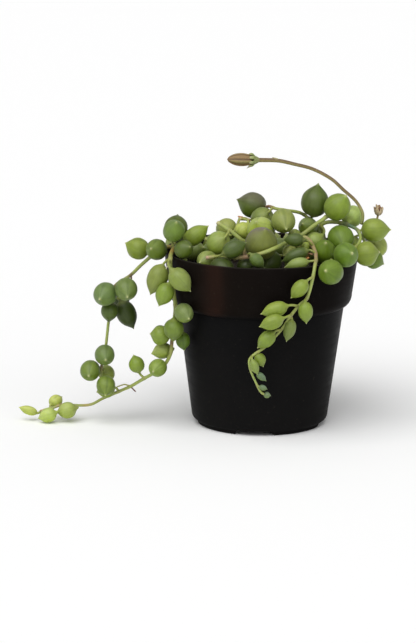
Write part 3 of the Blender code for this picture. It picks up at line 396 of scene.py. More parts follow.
BRACT_SHAPE = ((0.0, 0.0), (0.12, 0.42), (0.5, 0.5), (1.0, 0.0))
BUD = ((251.5, 159.9, -4.6), (227.0, 159.4, -6.4))
BUD_SHAPE = ((0.0, 0.0), (0.02, 1.5), (0.18, 2.2), (0.42, 2.45), (0.68, 2.15), (0.9, 1.2), (1.0, 0.0))
BUD_RIBS = 7
BUD_RIB = 0.06

# The spent flower: a short stalk behind the leaves at the right, and its withered head
SPENT_STALK = [
    (366.2, 240.4, -2.3), (369.0, 235.0, -1.2), (372.6, 228.5, -1.0), (375.8, 222.0, -1.4),
    (377.6, 217.0, -1.5), (378.0, 213.5, -1.6),
]
SPENT_STALK_RADII = (0.5, 0.42)
SPENT_HEAD = ((378.0, 216.4, -1.6), (379.0, 202.8, -1.6))
SPENT_CORE = ((0.0, 0.0), (0.1, 0.7), (0.34, 1.7), (0.6, 1.55), (0.82, 1.3), (1.0, 0.0))
SPENT_RIBS = 9
SPENT_STRIPS = 19

FLOWER_TONES = {
    "stalk foot": (0.380, 0.400, 0.140), "stalk": (0.245, 0.200, 0.062), "stalk edge": (0.125, 0.062, 0.045),
    "cup foot": (0.280, 0.230, 0.110), "cup": (0.260, 0.300, 0.110), "cup line": (0.190, 0.200, 0.070),
    "cup rim": (0.42, 0.43, 0.22), "bract": (0.360, 0.330, 0.160), "lobe": (0.250, 0.300, 0.100),
    "lobe end": (0.430, 0.430, 0.220), "rib": (0.290, 0.190, 0.078), "green rib": (0.260, 0.225, 0.070),
    "fine line": (0.170, 0.110, 0.045), "groove": (0.085, 0.045, 0.018), "bud end": (0.190, 0.105, 0.045),
    "bud foot": (0.290, 0.310, 0.130), "spent stalk": (0.330, 0.310, 0.120),
    "spent cup": (0.300, 0.220, 0.110), "core": (0.190, 0.090, 0.035), "core rib": (0.330, 0.220, 0.120),
    "dark strip": (0.170, 0.100, 0.045), "pale strip": (0.520, 0.430, 0.260),
    "strip end": (0.430, 0.330, 0.190),
}

# Stretches of stem that differ: (px, py, reach in pixels, colour)
STEM_MARKS = [
    (350, 225.5, 9, (0.100, 0.190, 0.120)), (311, 244, 9, (0.330, 0.200, 0.110)),
    (316, 256, 7, (0.360, 0.230, 0.130)), (308, 258, 4, (0.420, 0.180, 0.050)),
    (169.5, 250, 4, (0.450, 0.190, 0.050)), (268.5, 207, 5, (0.280, 0.100, 0.080)),
    (131, 275, 3, (0.150, 0.090, 0.040)), (114, 284, 4, (0.160, 0.100, 0.045)),
    (101, 366, 4, (0.150, 0.090, 0.045)), (171.7, 342.7, 4, (0.180, 0.100, 0.045)),
    (60, 404, 5, (0.480, 0.300, 0.200)), (42, 411, 5, (0.500, 0.320, 0.200)),
    (86, 405, 5, (0.450, 0.360, 0.130)), (206, 257.8, 4, (0.520, 0.330, 0.230)),
    (239.8, 218.6, 5, (0.480, 0.240, 0.090)), (248, 257, 10, (0.300, 0.160, 0.110)),
    (217, 222, 3, (0.550, 0.480, 0.260)),
]

# Small spurs, stubs and dried scales: (stem, points, radius at the start and the end, colour)
SPURS = [
    ("stem_left_long", [(131.6, 387.6, -5.8), (135.6, 391.6, -6.6)], 0.30, 0.24, (0.130, 0.035, 0.022)),
    (
        "stem_left_long",
        [(131.4, 385.8, -5.4), (128.0, 385.4, -5.6), (124.2, 384.5, -5.4), (117.0, 386.8, -4.6)],
        0.30, 0.24, (0.300, 0.285, 0.075),
    ),
    ("stem_left_outer", [(131.0, 275.0, -4.2), (131.4, 279.0, -4.8)], 0.42, 0.34, (0.130, 0.080, 0.040)),
    ("stem_left_long", [(170.0, 262.0, -18.6), (166.0, 269.0, -19.4)], 0.36, 0.20, (0.480, 0.460, 0.330)),
    (
        "stem_centre",
        [(250.6, 219.8, 0.6), (245.0, 219.2, -0.2), (239.4, 218.5, -1.8)],
        0.45, 0.76, (0.580, 0.490, 0.240),
    ),
    ("stem_centre", [(242.4, 217.6, -1.2), (238.0, 216.3, -2.0)], 0.50, 0.24, (0.500, 0.240, 0.095)),
    ("stem_front", [(309.0, 257.5, -27.4), (303.6, 260.5, -27.0)], 0.30, 0.16, (0.460, 0.200, 0.060)),
    ("stem_front", [(312.5, 254.5, -24.6), (306.0, 252.5, -24.0)], 0.34, 0.18, (0.300, 0.150, 0.080)),
]

# Leaves with a fold down one side, by their pixel: the angle of the fold about the leaf
CREASES = {(126.1, 288.9): 1.25, (183.8, 312.7): -1.2, (105.8, 385.0): -1.1}

# ------- places


def view_axes():
    """The viewpoint's eye and its forward, right and up directions, in millimetres from the pot's axis."""
    forward = Vector((0, math.cos(VIEW_ELEVATION), -math.sin(VIEW_ELEVATION)))
    right = Vector((1, 0, 0))
    up = right.cross(forward)
    turn = Matrix.Rotation(-VIEW_ROLL, 3, forward)
    return VIEW_TARGET - forward * VIEW_DISTANCE, forward, turn @ right, turn @ up


EYE, FORWARD, RIGHT, UP = view_axes()


def sight_line(px, py):
    across = (px - PICTURE[0] / 2) / FOCAL_PIXELS
    rise = (PICTURE[1] / 2 - py) / FOCAL_PIXELS
    return (FORWARD + RIGHT * across + UP * rise).normalized()


def seen(px, py, depth):
    """The point that shows at this pixel at this depth, in millimetres."""
    ray = sight_line(px, py)
    return EYE + ray * ((depth - EYE.y) / ray.y)


def pixel_of(place):
    """The pixel where a place in millimetres shows from the viewpoint."""
    offset = place - EYE
    ahead = offset.dot(FORWARD)
    return (
        PICTURE[0] / 2 + FOCAL_PIXELS * offset.dot(RIGHT) / ahead,
        PICTURE[1] / 2 - FOCAL_PIXELS * offset.dot(UP) / ahead,
    )


def soil_height(x, y):
    radius = math.hypot(x, y)
    mound = (SOIL_CROWN - SOIL_EDGE) * max(0.0, 1 - (radius / RIM_RADIUS) ** 2)
    return SOIL_EDGE + mound + SOIL_CRUMB * noise.noise(Vector((x * 0.17, y * 0.17, 4.2)))


def inner_radius(height):
    ledge_radius, ledge_height = BAND_FOOT
    share = (height - ledge_height) / (POT_HEIGHT - ledge_height)
    return ledge_radius - WALL + (RIM_RADIUS - ledge_radius) * share


def smooth_route(points, every):
    """A smooth curve through the points, sampled about every so many millimetres."""
    padded = [points[0] * 2 - points[1]] + list(points) + [points[-1] * 2 - points[-2]]
    route = [points[0]]
    for before, start, end, after in zip(padded, padded[1:], padded[2:], padded[3:]):
        steps = max(1, round((end - start).length / every))
        for step in range(1, steps + 1):
            t = step / steps
            route.append(
                0.5
                * (
                    2 * start
                    + (end - before) * t
                    + (2 * before - 5 * start + 4 * end - after) * t**2
                    + (3 * start - before - 3 * end + after) * t**3
                )
            )
    return route


def vine_routes(vine):
    """The points of each run of a stem. The first run starts in its hole in the soil."""
    routes = []
    for index, run in enumerate(vine.runs):
        points = [seen(*point) for point in run.points]
        if index == 0:
            x, y = vine.hole
            top = soil_height(x, y)
            points = [Vector((x, y, top + height)) for height in (GAP - HOLE_DEPTH, -2.0, 1.0)] + points
        routes.append(smooth_route(points, STEM_POINT_EVERY))
    return routes


def leaf_axis(leaf):
    """The middle of a leaf's belly and its tip, in millimetres."""
    middle = seen(leaf.px, leaf.py, leaf.depth)
    ray = sight_line(leaf.tip_px, leaf.tip_py)
    across = seen(leaf.tip_px, leaf.tip_py, leaf.depth) - middle
    reach = LEAF_TIP * leaf.width / 2
    along = across.dot(ray)
    square = along**2 - across.length_squared + reach**2
    if leaf.lean == 0 or square <= 0:
        return middle, middle + across
    return middle, middle + across + ray * (leaf.lean * math.sqrt(square) - along)


# ------- numbers and colours


def evenly(first, last, count):
    return [first + (last - first) * index / (count - 1) for index in range(count)]


def mixed(first, second, share):
    return tuple(a + (b - a) * share for a, b in zip(first, second))


def scaled(tone, *scales):
    return tuple(value * scale for value, scale in zip(tone, scales))


def ramp(value, low, high):
    """0 below low, 1 above high, and smooth between."""
    t = min(1.0, max(0.0, (value - low) / (high - low)))
    return t * t * (3 - 2 * t)


def bell(value, width):
    """1 at 0, and smoothly down to 0 beyond about twice the width."""
    return math.exp(-((value / width) ** 2))


# ------- meshes


def new_object(name, data):
    made = bpy.data.objects.new(name, data)
    bpy.context.scene.collection.objects.link(made)
    return made


class Shell:
    """Points, faces, colours and surface places of a piece that is gathered from closed forms."""

    def __init__(self):
        self.points = []
        self.faces = []
        self.tints = []
        self.places = []

    def add(self, points, faces, tints, places):
        base = sum(len(block) for block in self.points)
        self.points.append(np.asarray(points, float))
        self.faces.extend([tuple(base + index for index in face) for face in faces])
        self.tints.append(np.asarray(tints, float))
        self.places.append(np.asarray(places, float))

    def build(self, name, finish):
        mesh = bpy.data.meshes.new(name)
        points = np.concatenate(self.points) * MM + np.array(AXIS)
        mesh.from_pydata(points.tolist(), [], self.faces)
        tints = np.concatenate(self.tints)
        colours = np.concatenate([tints, np.ones((len(tints), 1))], axis=1)
        layer = mesh.attributes.new("tint", "FLOAT_COLOR", "POINT")
        layer.data.foreach_set("color", colours.astype(np.float32).ravel())
        place = mesh.attributes.new("place", "FLOAT_VECTOR", "POINT")
        place.data.foreach_set("vector", np.concatenate(self.places).astype(np.float32).ravel())
        mesh.shade_smooth()
        mesh.validate()
        mesh.materials.append(finish)
        return new_object(name, mesh)


def rings(places, radii, sides, side=None, shape=None):
    """A closed form of rings along a line of places. Its first and last ring are points.

    shape(ring, angle about the line) scales the radius. Returns the points, the faces, the cosine and sine of
    each point's angle, the ring that it is on, and the way that it faces.
    """
    places = [Vector(place) for place in places]
    count = len(places)
    ways = []
    for index in range(count):
        way = places[min(index + 1, count - 1)] - places[max(index - 1, 0)]
        ways.append(way.normalized() if way.length > 1e-9 else Vector((0, 0, 1)))
    side = side or ways[0].orthogonal()
    points, angles, ring_of, normals = [], [], [], []
    for index in range(count):
        side = side - ways[index] * side.dot(ways[index])
        side = side.normalized() if side.length > 1e-6 else ways[index].orthogonal().normalized()
        over = ways[index].cross(side)
        if index in (0, count - 1):
            points.append(places[index])
            angles.append((1.0, 0.0))
            ring_of.append(index)
            normals.append(ways[index] * (1 if index else -1))
            continue
        for step in range(sides):
            angle = math.tau * step / sides
            cosine, sine = math.cos(angle), math.sin(angle)
            normal = side * cosine + over * sine
            scale = shape(index, math.atan2(sine, cosine)) if shape else 1.0
            points.append(places[index] + normal * radii[index] * scale)
            angles.append((cosine, sine))
            ring_of.append(index)
            normals.append(normal)
    faces = []
    last = len(points) - 1
    for step in range(sides):
        after = (step + 1) % sides
        faces.append((0, 1 + after, 1 + step))
        faces.append((last, last - sides + step, last - sides + after))
    for index in range(count - 3):
        low = 1 + index * sides
        for step in range(sides):
            after = (step + 1) % sides
            faces.append((low + step, low + after, low + sides + after, low + sides + step))
    return points, faces, angles, ring_of, normals


def leaf_root(back, way, is_long, routes):
    """The stem's point that a leaf grows from: close by, and for a long leaf rather behind it."""
    points = [point for route in routes for point in route]
    near = min((point - back).length for point in points)
    reach = min(ROOT_BEHIND * near, ROOT_REACH) if is_long else 0.0
    return min(points, key=lambda point: (point - back + way * reach).length)


def leaf_line(leaf, routes):
    """The leaf's line from inside its stem to its tip: places, radii, and how far along the leaf each is."""
    middle, tip = leaf_axis(leaf)
    radius = leaf.width / 2
    way = (tip - middle).normalized()
    stretch = (tip - middle).length / (LEAF_TIP * radius)
    rear = max(1.0, stretch)
    back = middle - way * radius * rear
    root = leaf_root(back, way, stretch > LONG_LEAF, routes)
    stalk = min(PETIOLE_RADIUS, 0.3 * radius)
    bend = back - way * 0.4 * (back - root).length
    places, radii, shares = [root - (bend - root).normalized() * 0.3], [0.0], [-1.0]  # inside the stem
    for step in range(PETIOLE_RINGS):
        t = step / PETIOLE_RINGS
        places.append(root * (1 - t) ** 2 + bend * 2 * t * (1 - t) + back * t**2)
        swell = 1 + 0.35 * (1 - t) ** 3 + 0.25 * t**3
        radii.append(stalk * swell * 0.92)
        shares.append(t - 1)
    for profile, longer, least in ((LEAF_BACK, rear, stalk), (LEAF_FRONT, stretch, 0.0)):
        for place, share in profile:
            places.append(middle + way * place * longer * radius)
            radii.append(max(share * radius, least))
            shares.append((place + 1) / (1 + LEAF_TIP))
    places.append(tip)
    radii.append(0.0)
    shares.append(1.0)
    return places, radii, shares, way


def add_leaf(shell, leaf, routes, chance):
    places, radii, shares, way = leaf_line(leaf, routes)
    upward = Vector((0, 0, 1)) - way * way.z
    side = upward if upward.length > 0.2 else Vector((0, -1, 0))
    body, blush_and_top_light, pale_tip = LEAF_TONES[leaf.tone]
    lightness = chance.uniform(0.92, 1.08)
    warmth = chance.uniform(-0.05, 0.05)
    body = scaled(body, lightness + warmth, lightness, lightness - warmth)
    wave = chance.uniform(0, 6.28)
    boat = leaf.tone.startswith("boat")
    fold = CREASES.get((leaf.px, leaf.py))

    def shape(ring, angle):
        if shares[ring] < 0:
            return 1.0
        belly = math.sin(math.pi * min(1.0, shares[ring] * 1.02))
        groove = bell(angle, 0.16) * belly * (0.10 if boat else 0.022)
        keel = bell(abs(angle) - math.pi, 0.35) * belly * (0.05 if boat else 0.012)
        if fold is not None:
            groove += 0.035 * bell(angle - fold, 0.13) * belly
        oval = 0.012 * math.cos(2 * angle + wave) + 0.008 * math.cos(3 * angle + 2 * wave)
        return 1 - groove + keel + oval * belly

    points, faces, angles, ring_of, normals = rings(places, radii, LEAF_SIDES, side, shape)
    tints, surface = [], []
    for (cosine, sine), ring, normal in zip(angles, ring_of, normals):
        share = shares[ring]
        angle = math.atan2(sine, cosine)
        colour = body
        # Upper side: partly a purple tint, partly a painted highlight that makes it lighter and greyer
        if blush_and_top_light:
            colour = mixed(colour, blush_and_top_light, 0.85 * ramp(normal.z, -0.35, 0.85))
        if share < 0.0:
            colour = mixed(PETIOLE_TONE, body, ramp(share, -0.5, 0.0))
        else:
            colour = mixed(mixed(colour, PETIOLE_TONE, 0.45), colour, ramp(share, 0.0, 0.12))
            # Painted shading on the underside: the lower side of the leaf made more saturated and much less
            # blue
            underside_shading = ramp(-normal.z, -0.2, 0.9) * ramp(share, 0.0, 0.3)
            colour = mixed(colour, scaled(body, 1.06, 1.10, 0.42), 0.80 * underside_shading)
            # Painted highlight: the upper side of the leaf made lighter and greyer, standing in for light and
            # sheen from above
            over = ramp(normal.z, 0.1, 0.95) * ramp(share, 0.0, 0.3)
            colour = mixed(colour, scaled(colour, 1.24, 1.17, 1.50), over)
            window = bell(angle, 0.12) * ramp(share, 0.1, 0.4)
            colour = mixed(colour, scaled(body, 0.62, 0.70, 0.50), 0.5 * window)
            if fold is not None:
                shadow = bell(angle - fold, 0.12) * ramp(share, 0.1, 0.4)
                colour = mixed(colour, scaled(body, 0.45, 0.55, 0.40), 0.6 * shadow)
            colour = mixed(colour, LEAF_TIP_TONE, pale_tip * ramp(share, 0.915, 0.98))
        tints.append(colour)
        surface.append((cosine, sine, max(share, -0.2)))
    shell.add(points, faces, tints, surface)


def add_stem(shell, route, radii, roots):
    """A stem: a tube with ribs and a swelling wherever a leaf leaves it."""
    count = len(route)

    def near_leaf(place):
        return min((place - root).length for root in roots)

    sizes, run = [0.0], [0.0]
    for index, place in enumerate(route):
        size = radii[0] + (radii[1] - radii[0]) * index / (count - 1)
        size *= 1 + 0.16 * bell(near_leaf(place), 0.9)
        size *= 1 + 0.05 * noise.noise(place * 0.35)
        sizes.append(size * 0.97)
        run.append(run[-1] + (0 if index == 0 else (place - route[index - 1]).length))
    sizes.append(0.0)
    run.append(run[-1])
    below = route[0] - (route[1] - route[0]).normalized() * 0.05
    beyond = route[-1] + (route[-1] - route[-2]).normalized() * radii[1] * 0.35
    places = [below] + route + [beyond]

    def shape(ring, angle):
        return 1 + 0.035 * math.cos(5 * angle + 0.05 * run[ring])

    points, faces, angles, ring_of, _ = rings(places, sizes, STEM_SIDES, None, shape)
    tints, surface = [], []
    for (cosine, sine), ring in zip(angles, ring_of):
        place = places[ring]
        px, py = pixel_of(place)
        colour = mixed(STEM_TONE, STEM_FRESH_TONE, 0.5 + 0.5 * noise.noise(place * 0.12))
        for mark_x, mark_y, reach, tone in STEM_MARKS:
            colour = mixed(colour, tone, 0.9 * bell(math.hypot(px - mark_x, py - mark_y), reach))
        tints.append(mixed(colour, JOINT_TONE, 0.45 * bell(near_leaf(place), 0.7)))
        surface.append((cosine, sine, run[ring] * 0.1))
    shell.add(points, faces, tints, surface)


def add_thin(shell, line, sizes, tone_at, side=None, shape=None):
    """A thin form of rings whose colour is tone_at(share along it)."""
    points, faces, angles, ring_of, _ = rings(line, sizes, THIN_SIDES, side, shape)
    tints = [tone_at(ring / (len(line) - 1)) for ring in ring_of]
    shell.add(points, faces, tints, [(c, s, ring * 0.1) for (c, s), ring in zip(angles, ring_of)])


def add_strip(shell, line, wide, out, flat, tone, end_tone):
    """A thin curled strip along a line of places, flattened against the way out."""
    last = len(line) - 1
    sizes = [0.0] + [wide * (0.55 + 0.6 * math.sin(math.pi * t / last)) for t in range(1, last)] + [0.0]

    def flatter(ring, angle):
        return math.hypot(flat * math.cos(angle), math.sin(angle))

    add_thin(shell, line, sizes, lambda share: mixed(tone, end_tone, ramp(share, 0.45, 1.0)), out, flatter)


def add_spur(shell, points, first, last, tone):
    line = smooth_route([seen(*point) for point in points], 0.5)
    places = [line[0]] + line + [line[-1] + (line[-1] - line[-2]).normalized() * last * 0.5]
    add_thin(shell, places, [0.0] + evenly(first, last, len(line)) + [0.0], lambda share: tone)


def fine_profile(table, every):
    """The outline through a table of (place, radius), smoothed and sampled about this finely."""
    route = smooth_route([Vector((place, share, 0)) for place, share in table], every)
    return [(point.x, point.y) for point in route]


LEAF_BACK = fine_profile(LEAF_BACK_PROFILE, PROFILE_EVERY)
LEAF_FRONT = fine_profile((LEAF_BACK_PROFILE[-1],) + LEAF_FRONT_PROFILE, PROFILE_EVERY)[1:]

# ------- finishes


class Finish:
    """A Principled material and short ways to add nodes to it."""

    def __init__(self, name, **settings):
        self.material = bpy.data.materials.new(name)
        self.material.use_nodes = True
        self.tree = self.material.node_tree
        self.shader = self.tree.nodes["Principled BSDF"]
        for key, value in settings.items():
            self.shader.inputs[key.replace("_", " ")].default_value = value

    def node(self, kind, inputs=(), **settings):
        """A node with these settings, and its inputs from pairs of an input and its value or socket."""
        made = self.tree.nodes.new("ShaderNode" + kind)
        for key, value in settings.items():
            setattr(made, key, value)
        for key, value in inputs:
            if isinstance(value, bpy.types.NodeSocket):
                self.tree.links.new(value, made.inputs[key])
            else:
                made.inputs[key].default_value = value
        return made

    def link(self, socket, key):
        self.tree.links.new(socket, self.shader.inputs[key])

    def attribute(self, name, output):
        return self.node("Attribute", attribute_name=name).outputs[output]

    def where(self):
        return self.node("TexCoord").outputs["Object"]

    def noise(self, vector, scale, detail, rough):
        inputs = [("Vector", vector), ("Scale", scale), ("Detail", detail), ("Roughness", rough)]
        return self.node("TexNoise", inputs).outputs["Fac"]

    def span(self, value, low, high, to_low, to_high):
        names = ("Value", "From Min", "From Max", "To Min", "To Max")
        inputs = zip(names, (value, low, high, to_low, to_high))
        return self.node("MapRange", inputs).outputs["Result"]

    def vary(self, noise, to_low, to_high):
        """The middle of a noise's range, spread between two values."""
        return self.span(noise, 0.3, 0.7, to_low, to_high)

    def times(self, *factors):
        product = factors[0]
        for factor in factors[1:]:
            product = self.node("Math", [(0, product), (1, factor)], operation="MULTIPLY").outputs[0]
        return product

    def plus(self, first, second):
        return self.node("Math", [(0, first), (1, second)], operation="ADD").outputs[0]

    def mix(self, share, first, second, blend="MIX"):
        inputs = [(0, share), (6, first), (7, second)]
        return self.node("Mix", inputs, data_type="RGBA", blend_type=blend).outputs[2]

    def scaled(self, vector, x, y, z):
        return self.node("VectorMath", [(0, vector), (1, (x, y, z))], operation="MULTIPLY").outputs[0]

    def bump(self, height, distance, strength):
        inputs = [("Height", height), ("Distance", distance), ("Strength", strength)]
        self.link(self.node("Bump", inputs).outputs["Normal"], "Normal")

    def shaded_tint(self, light):
        """Makes the base colour the piece's own tint, lighter or darker by this much."""
        shade = self.node("CombineColor", [(index, light) for index in range(3)]).outputs[0]
        self.link(self.mix(1.0, self.attribute("tint", "Color"), shade, "MULTIPLY"), "Base Color")


def leaf_finish(name):
    """Fleshy leaf skin: faint streaks along the leaf, a cloudy mottle, fine pores and a soft waxy gloss."""
    finish = Finish(
        name,
        Subsurface_Weight=0.22,
        Subsurface_Radius=(0.9, 1.0, 0.25),
        Subsurface_Scale=0.0013,
        Specular_IOR_Level=0.36,
        Coat_Weight=0.06,
        Coat_Roughness=0.30,
        Sheen_Weight=0.03,
        Sheen_Roughness=0.5,
    )
    place, where = finish.attribute("place", "Vector"), finish.where()
    streak = finish.noise(finish.scaled(place, 5.5, 5.5, 1.1), 1.0, 4.0, 0.6)
    fibre = finish.noise(finish.scaled(place, 15.0, 15.0, 1.8), 1.0, 2.0, 0.5)
    cloud = finish.noise(where, 420.0, 4.0, 0.6)
    pores = finish.noise(where, 5200.0, 2.0, 0.5)
    light = finish.times(finish.vary(streak, 0.93, 1.07), finish.vary(cloud, 0.90, 1.10))
    light = finish.times(light, finish.vary(fibre, 0.96, 1.04), finish.span(pores, 0.35, 0.65, 0.96, 1.04))
    finish.shaded_tint(light)
    finish.link(finish.vary(cloud, 0.36, 0.54), "Roughness")
    finish.bump(finish.plus(finish.times(streak, 0.6), finish.times(pores, 0.14)), 0.00018, 0.5)
    return finish.material


def dry_finish(name, low, high):
    """A papery or woody plant skin that keeps its tints, with fine lines along it."""
    finish = Finish(name, Subsurface_Weight=0.10, Subsurface_Radius=(1.0, 0.7, 0.3), Subsurface_Scale=0.0008)
    streak = finish.noise(finish.scaled(finish.attribute("place", "Vector"), 7.0, 7.0, 1.2), 1.0, 4.0, 0.6)
    grain = finish.noise(finish.where(), 1500.0, 4.0, 0.6)
    finish.shaded_tint(finish.times(finish.vary(streak, low, high), finish.vary(grain, 0.86, 1.16)))
    finish.link(finish.vary(grain, 0.45, 0.70), "Roughness")
    finish.bump(finish.plus(streak, finish.times(grain, 0.3)), 0.00022, 0.6)
    return finish.material


def soil_finish(name):
    """Dark peat: each crumb keeps its own tint, with fine grain over it."""
    finish = Finish(name)
    where = finish.where()
    clod = finish.noise(where, 260.0, 6.0, 0.65)
    grain = finish.noise(where, 2600.0, 4.0, 0.7)
    finish.shaded_tint(finish.times(finish.vary(clod, 0.6, 1.35), finish.vary(grain, 0.6, 1.5)))
    finish.link(finish.vary(clod, 0.82, 0.98), "Roughness")
    finish.bump(finish.plus(finish.times(clod, 0.7), finish.times(grain, 0.4)), 0.0006, 0.9)
    return finish.material


def pot_finish(name):
    """Thin black moulded plastic: fine grain, dull scuffs, light dust, and specks of dried soil."""
    finish = Finish(name, Specular_IOR_Level=0.015)
    where = finish.where()
    cloud = finish.noise(where, 55.0, 5.0, 0.62)
    grain = finish.noise(where, 1900.0, 3.0, 0.6)
    drag = finish.noise(finish.scaled(where, 1.0, 1.0, 9.0), 70.0, 4.0, 0.55)
    specks = finish.span(finish.noise(where, 850.0, 5.0, 0.7), 0.62, 0.74, 0.0, 1.0)
    dust = finish.times(finish.span(cloud, 0.42, 0.75, 0.0, 1.0), finish.span(grain, 0.4, 0.7, 0.2, 1.0))
    colour = finish.mix(finish.times(dust, 0.35), finish.attribute("tint", "Color"), DUST_TONE)
    finish.link(finish.mix(finish.times(specks, 0.5), colour, SPECK_TONE), "Base Color")
    rough = finish.plus(finish.vary(cloud, 0.30, 0.48), finish.span(drag, 0.4, 0.7, 0.0, 0.10))
    finish.link(rough, "Roughness")
    finish.bump(finish.plus(finish.times(grain, 0.25), finish.times(drag, 0.8)), 0.00016, 0.35)
    return finish.material


# ------- pieces


def keep(piece, node):
    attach(piece, "root")
    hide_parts(node)


def make_vine(vine, finish):
    chance = random.Random(vine.name)
    shell = Shell()
    routes = vine_routes(vine)
    roots = [leaf_line(leaf, routes)[0][1] for leaf in vine.leaves]
    for route, run in zip(routes, vine.runs):
        add_stem(shell, route, run.radii, roots)
    for leaf in vine.leaves:
        add_leaf(shell, leaf, routes, chance)
    for name, *spur in SPURS:
        if name == vine.name:
            add_spur(shell, *spur)
    keep(shell.build("look_" + vine.name, finish), vine.name)


def stalk_line(points, ends):
    """The rings of a stalk through the points: their places and radii, pointed at both ends."""
    route = smooth_route([seen(*point) for point in points], STEM_POINT_EVERY)
    places = [route[0]] + route + [route[-1] + (route[-1] - route[-2]) * 0.4]
    return places, [0.0] + evenly(*ends, len(route)) + [0.0]


def spindle(ends, shape, every=0.04):
    """The rings of a shape between two places: their places and radii, in millimetres."""
    start, end = (seen(*place) for place in ends)
    line = fine_profile(shape, every)
    return [start.lerp(end, share) for share, _ in line], [max(0.0, radius) for _, radius in line]


def blend(first, second, share):
    """A colour between two of the flower's tones."""
    return mixed(FLOWER_TONES[first], FLOWER_TONES[second], share)


def add_form(shell, line, sides, colour_of, shape=None):
    """Adds rings whose tint is colour_of(share along, angle)."""
    places, radii = line
    points, faces, angles, ring_of, _ = rings(places, radii, sides, Vector((0, 0, 1)), shape)
    last = len(places) - 1
    tints, surface = [], []
    for (cosine, sine), ring in zip(angles, ring_of):
        share = ring / last
        tints.append(colour_of(share, math.atan2(sine, cosine)))
        surface.append((cosine, sine, share * 2))
    shell.add(points, faces, tints, surface)


def make_flower(finish):
    stalk = Shell()
    places, radii = stalk_line(FLOWER_STALK, FLOWER_STALK_RADII)
    count = len(places) - 2
    radii = [radius * (1 + 0.16 * ramp(ring - 1, 0.7 * count, count)) for ring, radius in enumerate(radii)]

    def stalk_colour(share, angle):
        edge = ramp(abs(math.sin(angle)), 0.45, 0.98)
        olive = blend("stalk foot", "stalk", ramp(share, 0.02, 0.22))
        return mixed(olive, FLOWER_TONES["stalk edge"], (0.12 + 0.58 * ramp(share, 0.03, 0.3)) * edge)

    def ridges(ring, angle):
        return 1 + 0.05 * math.cos(6 * angle)

    add_form(stalk, (places, radii), 24, stalk_colour, ridges)

    def cup_colour(share, angle):
        green = blend("cup", "cup line", ramp(math.cos(CUP_LINES * angle), 0.55, 0.95))
        colour = mixed(FLOWER_TONES["cup foot"], green, ramp(share, 0.1, 0.4))
        return mixed(colour, FLOWER_TONES["cup rim"], ramp(share, 0.86, 1.0))

    def cup_shape(ring, angle):
        return 1 - 0.05 * ramp(math.cos(CUP_LINES * angle), 0.4, 1.0)

    add_form(stalk, spindle(CUP, CUP_SHAPE), 48, cup_colour, cup_shape)
    for bract in BRACTS:
        add_form(stalk, spindle(bract, BRACT_SHAPE), THIN_SIDES, lambda share, angle: FLOWER_TONES["bract"])
    rim, tip = seen(*CUP[1]), seen(*BUD[1])
    along = (tip - rim).normalized()
    first_way = along.orthogonal().normalized()
    for lobe in range(LOBES):
        out = Matrix.Rotation(math.tau * (lobe + 0.5) / LOBES, 3, along) @ first_way
        line = []
        for step in range(8):
            t = step / 7
            bulge = 1.50 + 0.85 * math.sin(math.pi * min(0.6, t * 0.9))
            line.append(rim + along * (LOBE_LENGTH * t - 0.9) + out * bulge)
        add_strip(stalk, line, 0.62, out, 0.35, FLOWER_TONES["lobe"], FLOWER_TONES["lobe end"])
    keep(stalk.build("look_flower_stalk", finish), "flower_stalk")

    bud = Shell()

    def bud_colour(share, angle):
        groove = ramp(-math.cos(BUD_RIBS * angle), 0.25, 1.0)
        fine = 0.5 + 0.5 * math.cos(3 * BUD_RIBS * angle + 3.0 * share)
        colour = blend("rib", "green rib", ramp(math.sin(3.0 * angle + 1.0), 0.0, 1.0))
        colour = mixed(colour, FLOWER_TONES["fine line"], 0.6 * fine)
        colour = mixed(colour, FLOWER_TONES["groove"], 0.85 * groove)
        colour = mixed(colour, FLOWER_TONES["bud end"], 0.6 * ramp(share, 0.6, 0.95))
        return mixed(colour, FLOWER_TONES["bud foot"], 0.6 * (1 - ramp(share, 0.0, 0.12)))

    def bud_shape(ring, angle):
        return 1 + BUD_RIB * math.cos(BUD_RIBS * angle)

    add_form(bud, spindle(BUD, BUD_SHAPE, 0.025), 84, bud_colour, bud_shape)
    keep(bud.build("look_flower_bud", finish), "flower_bud")


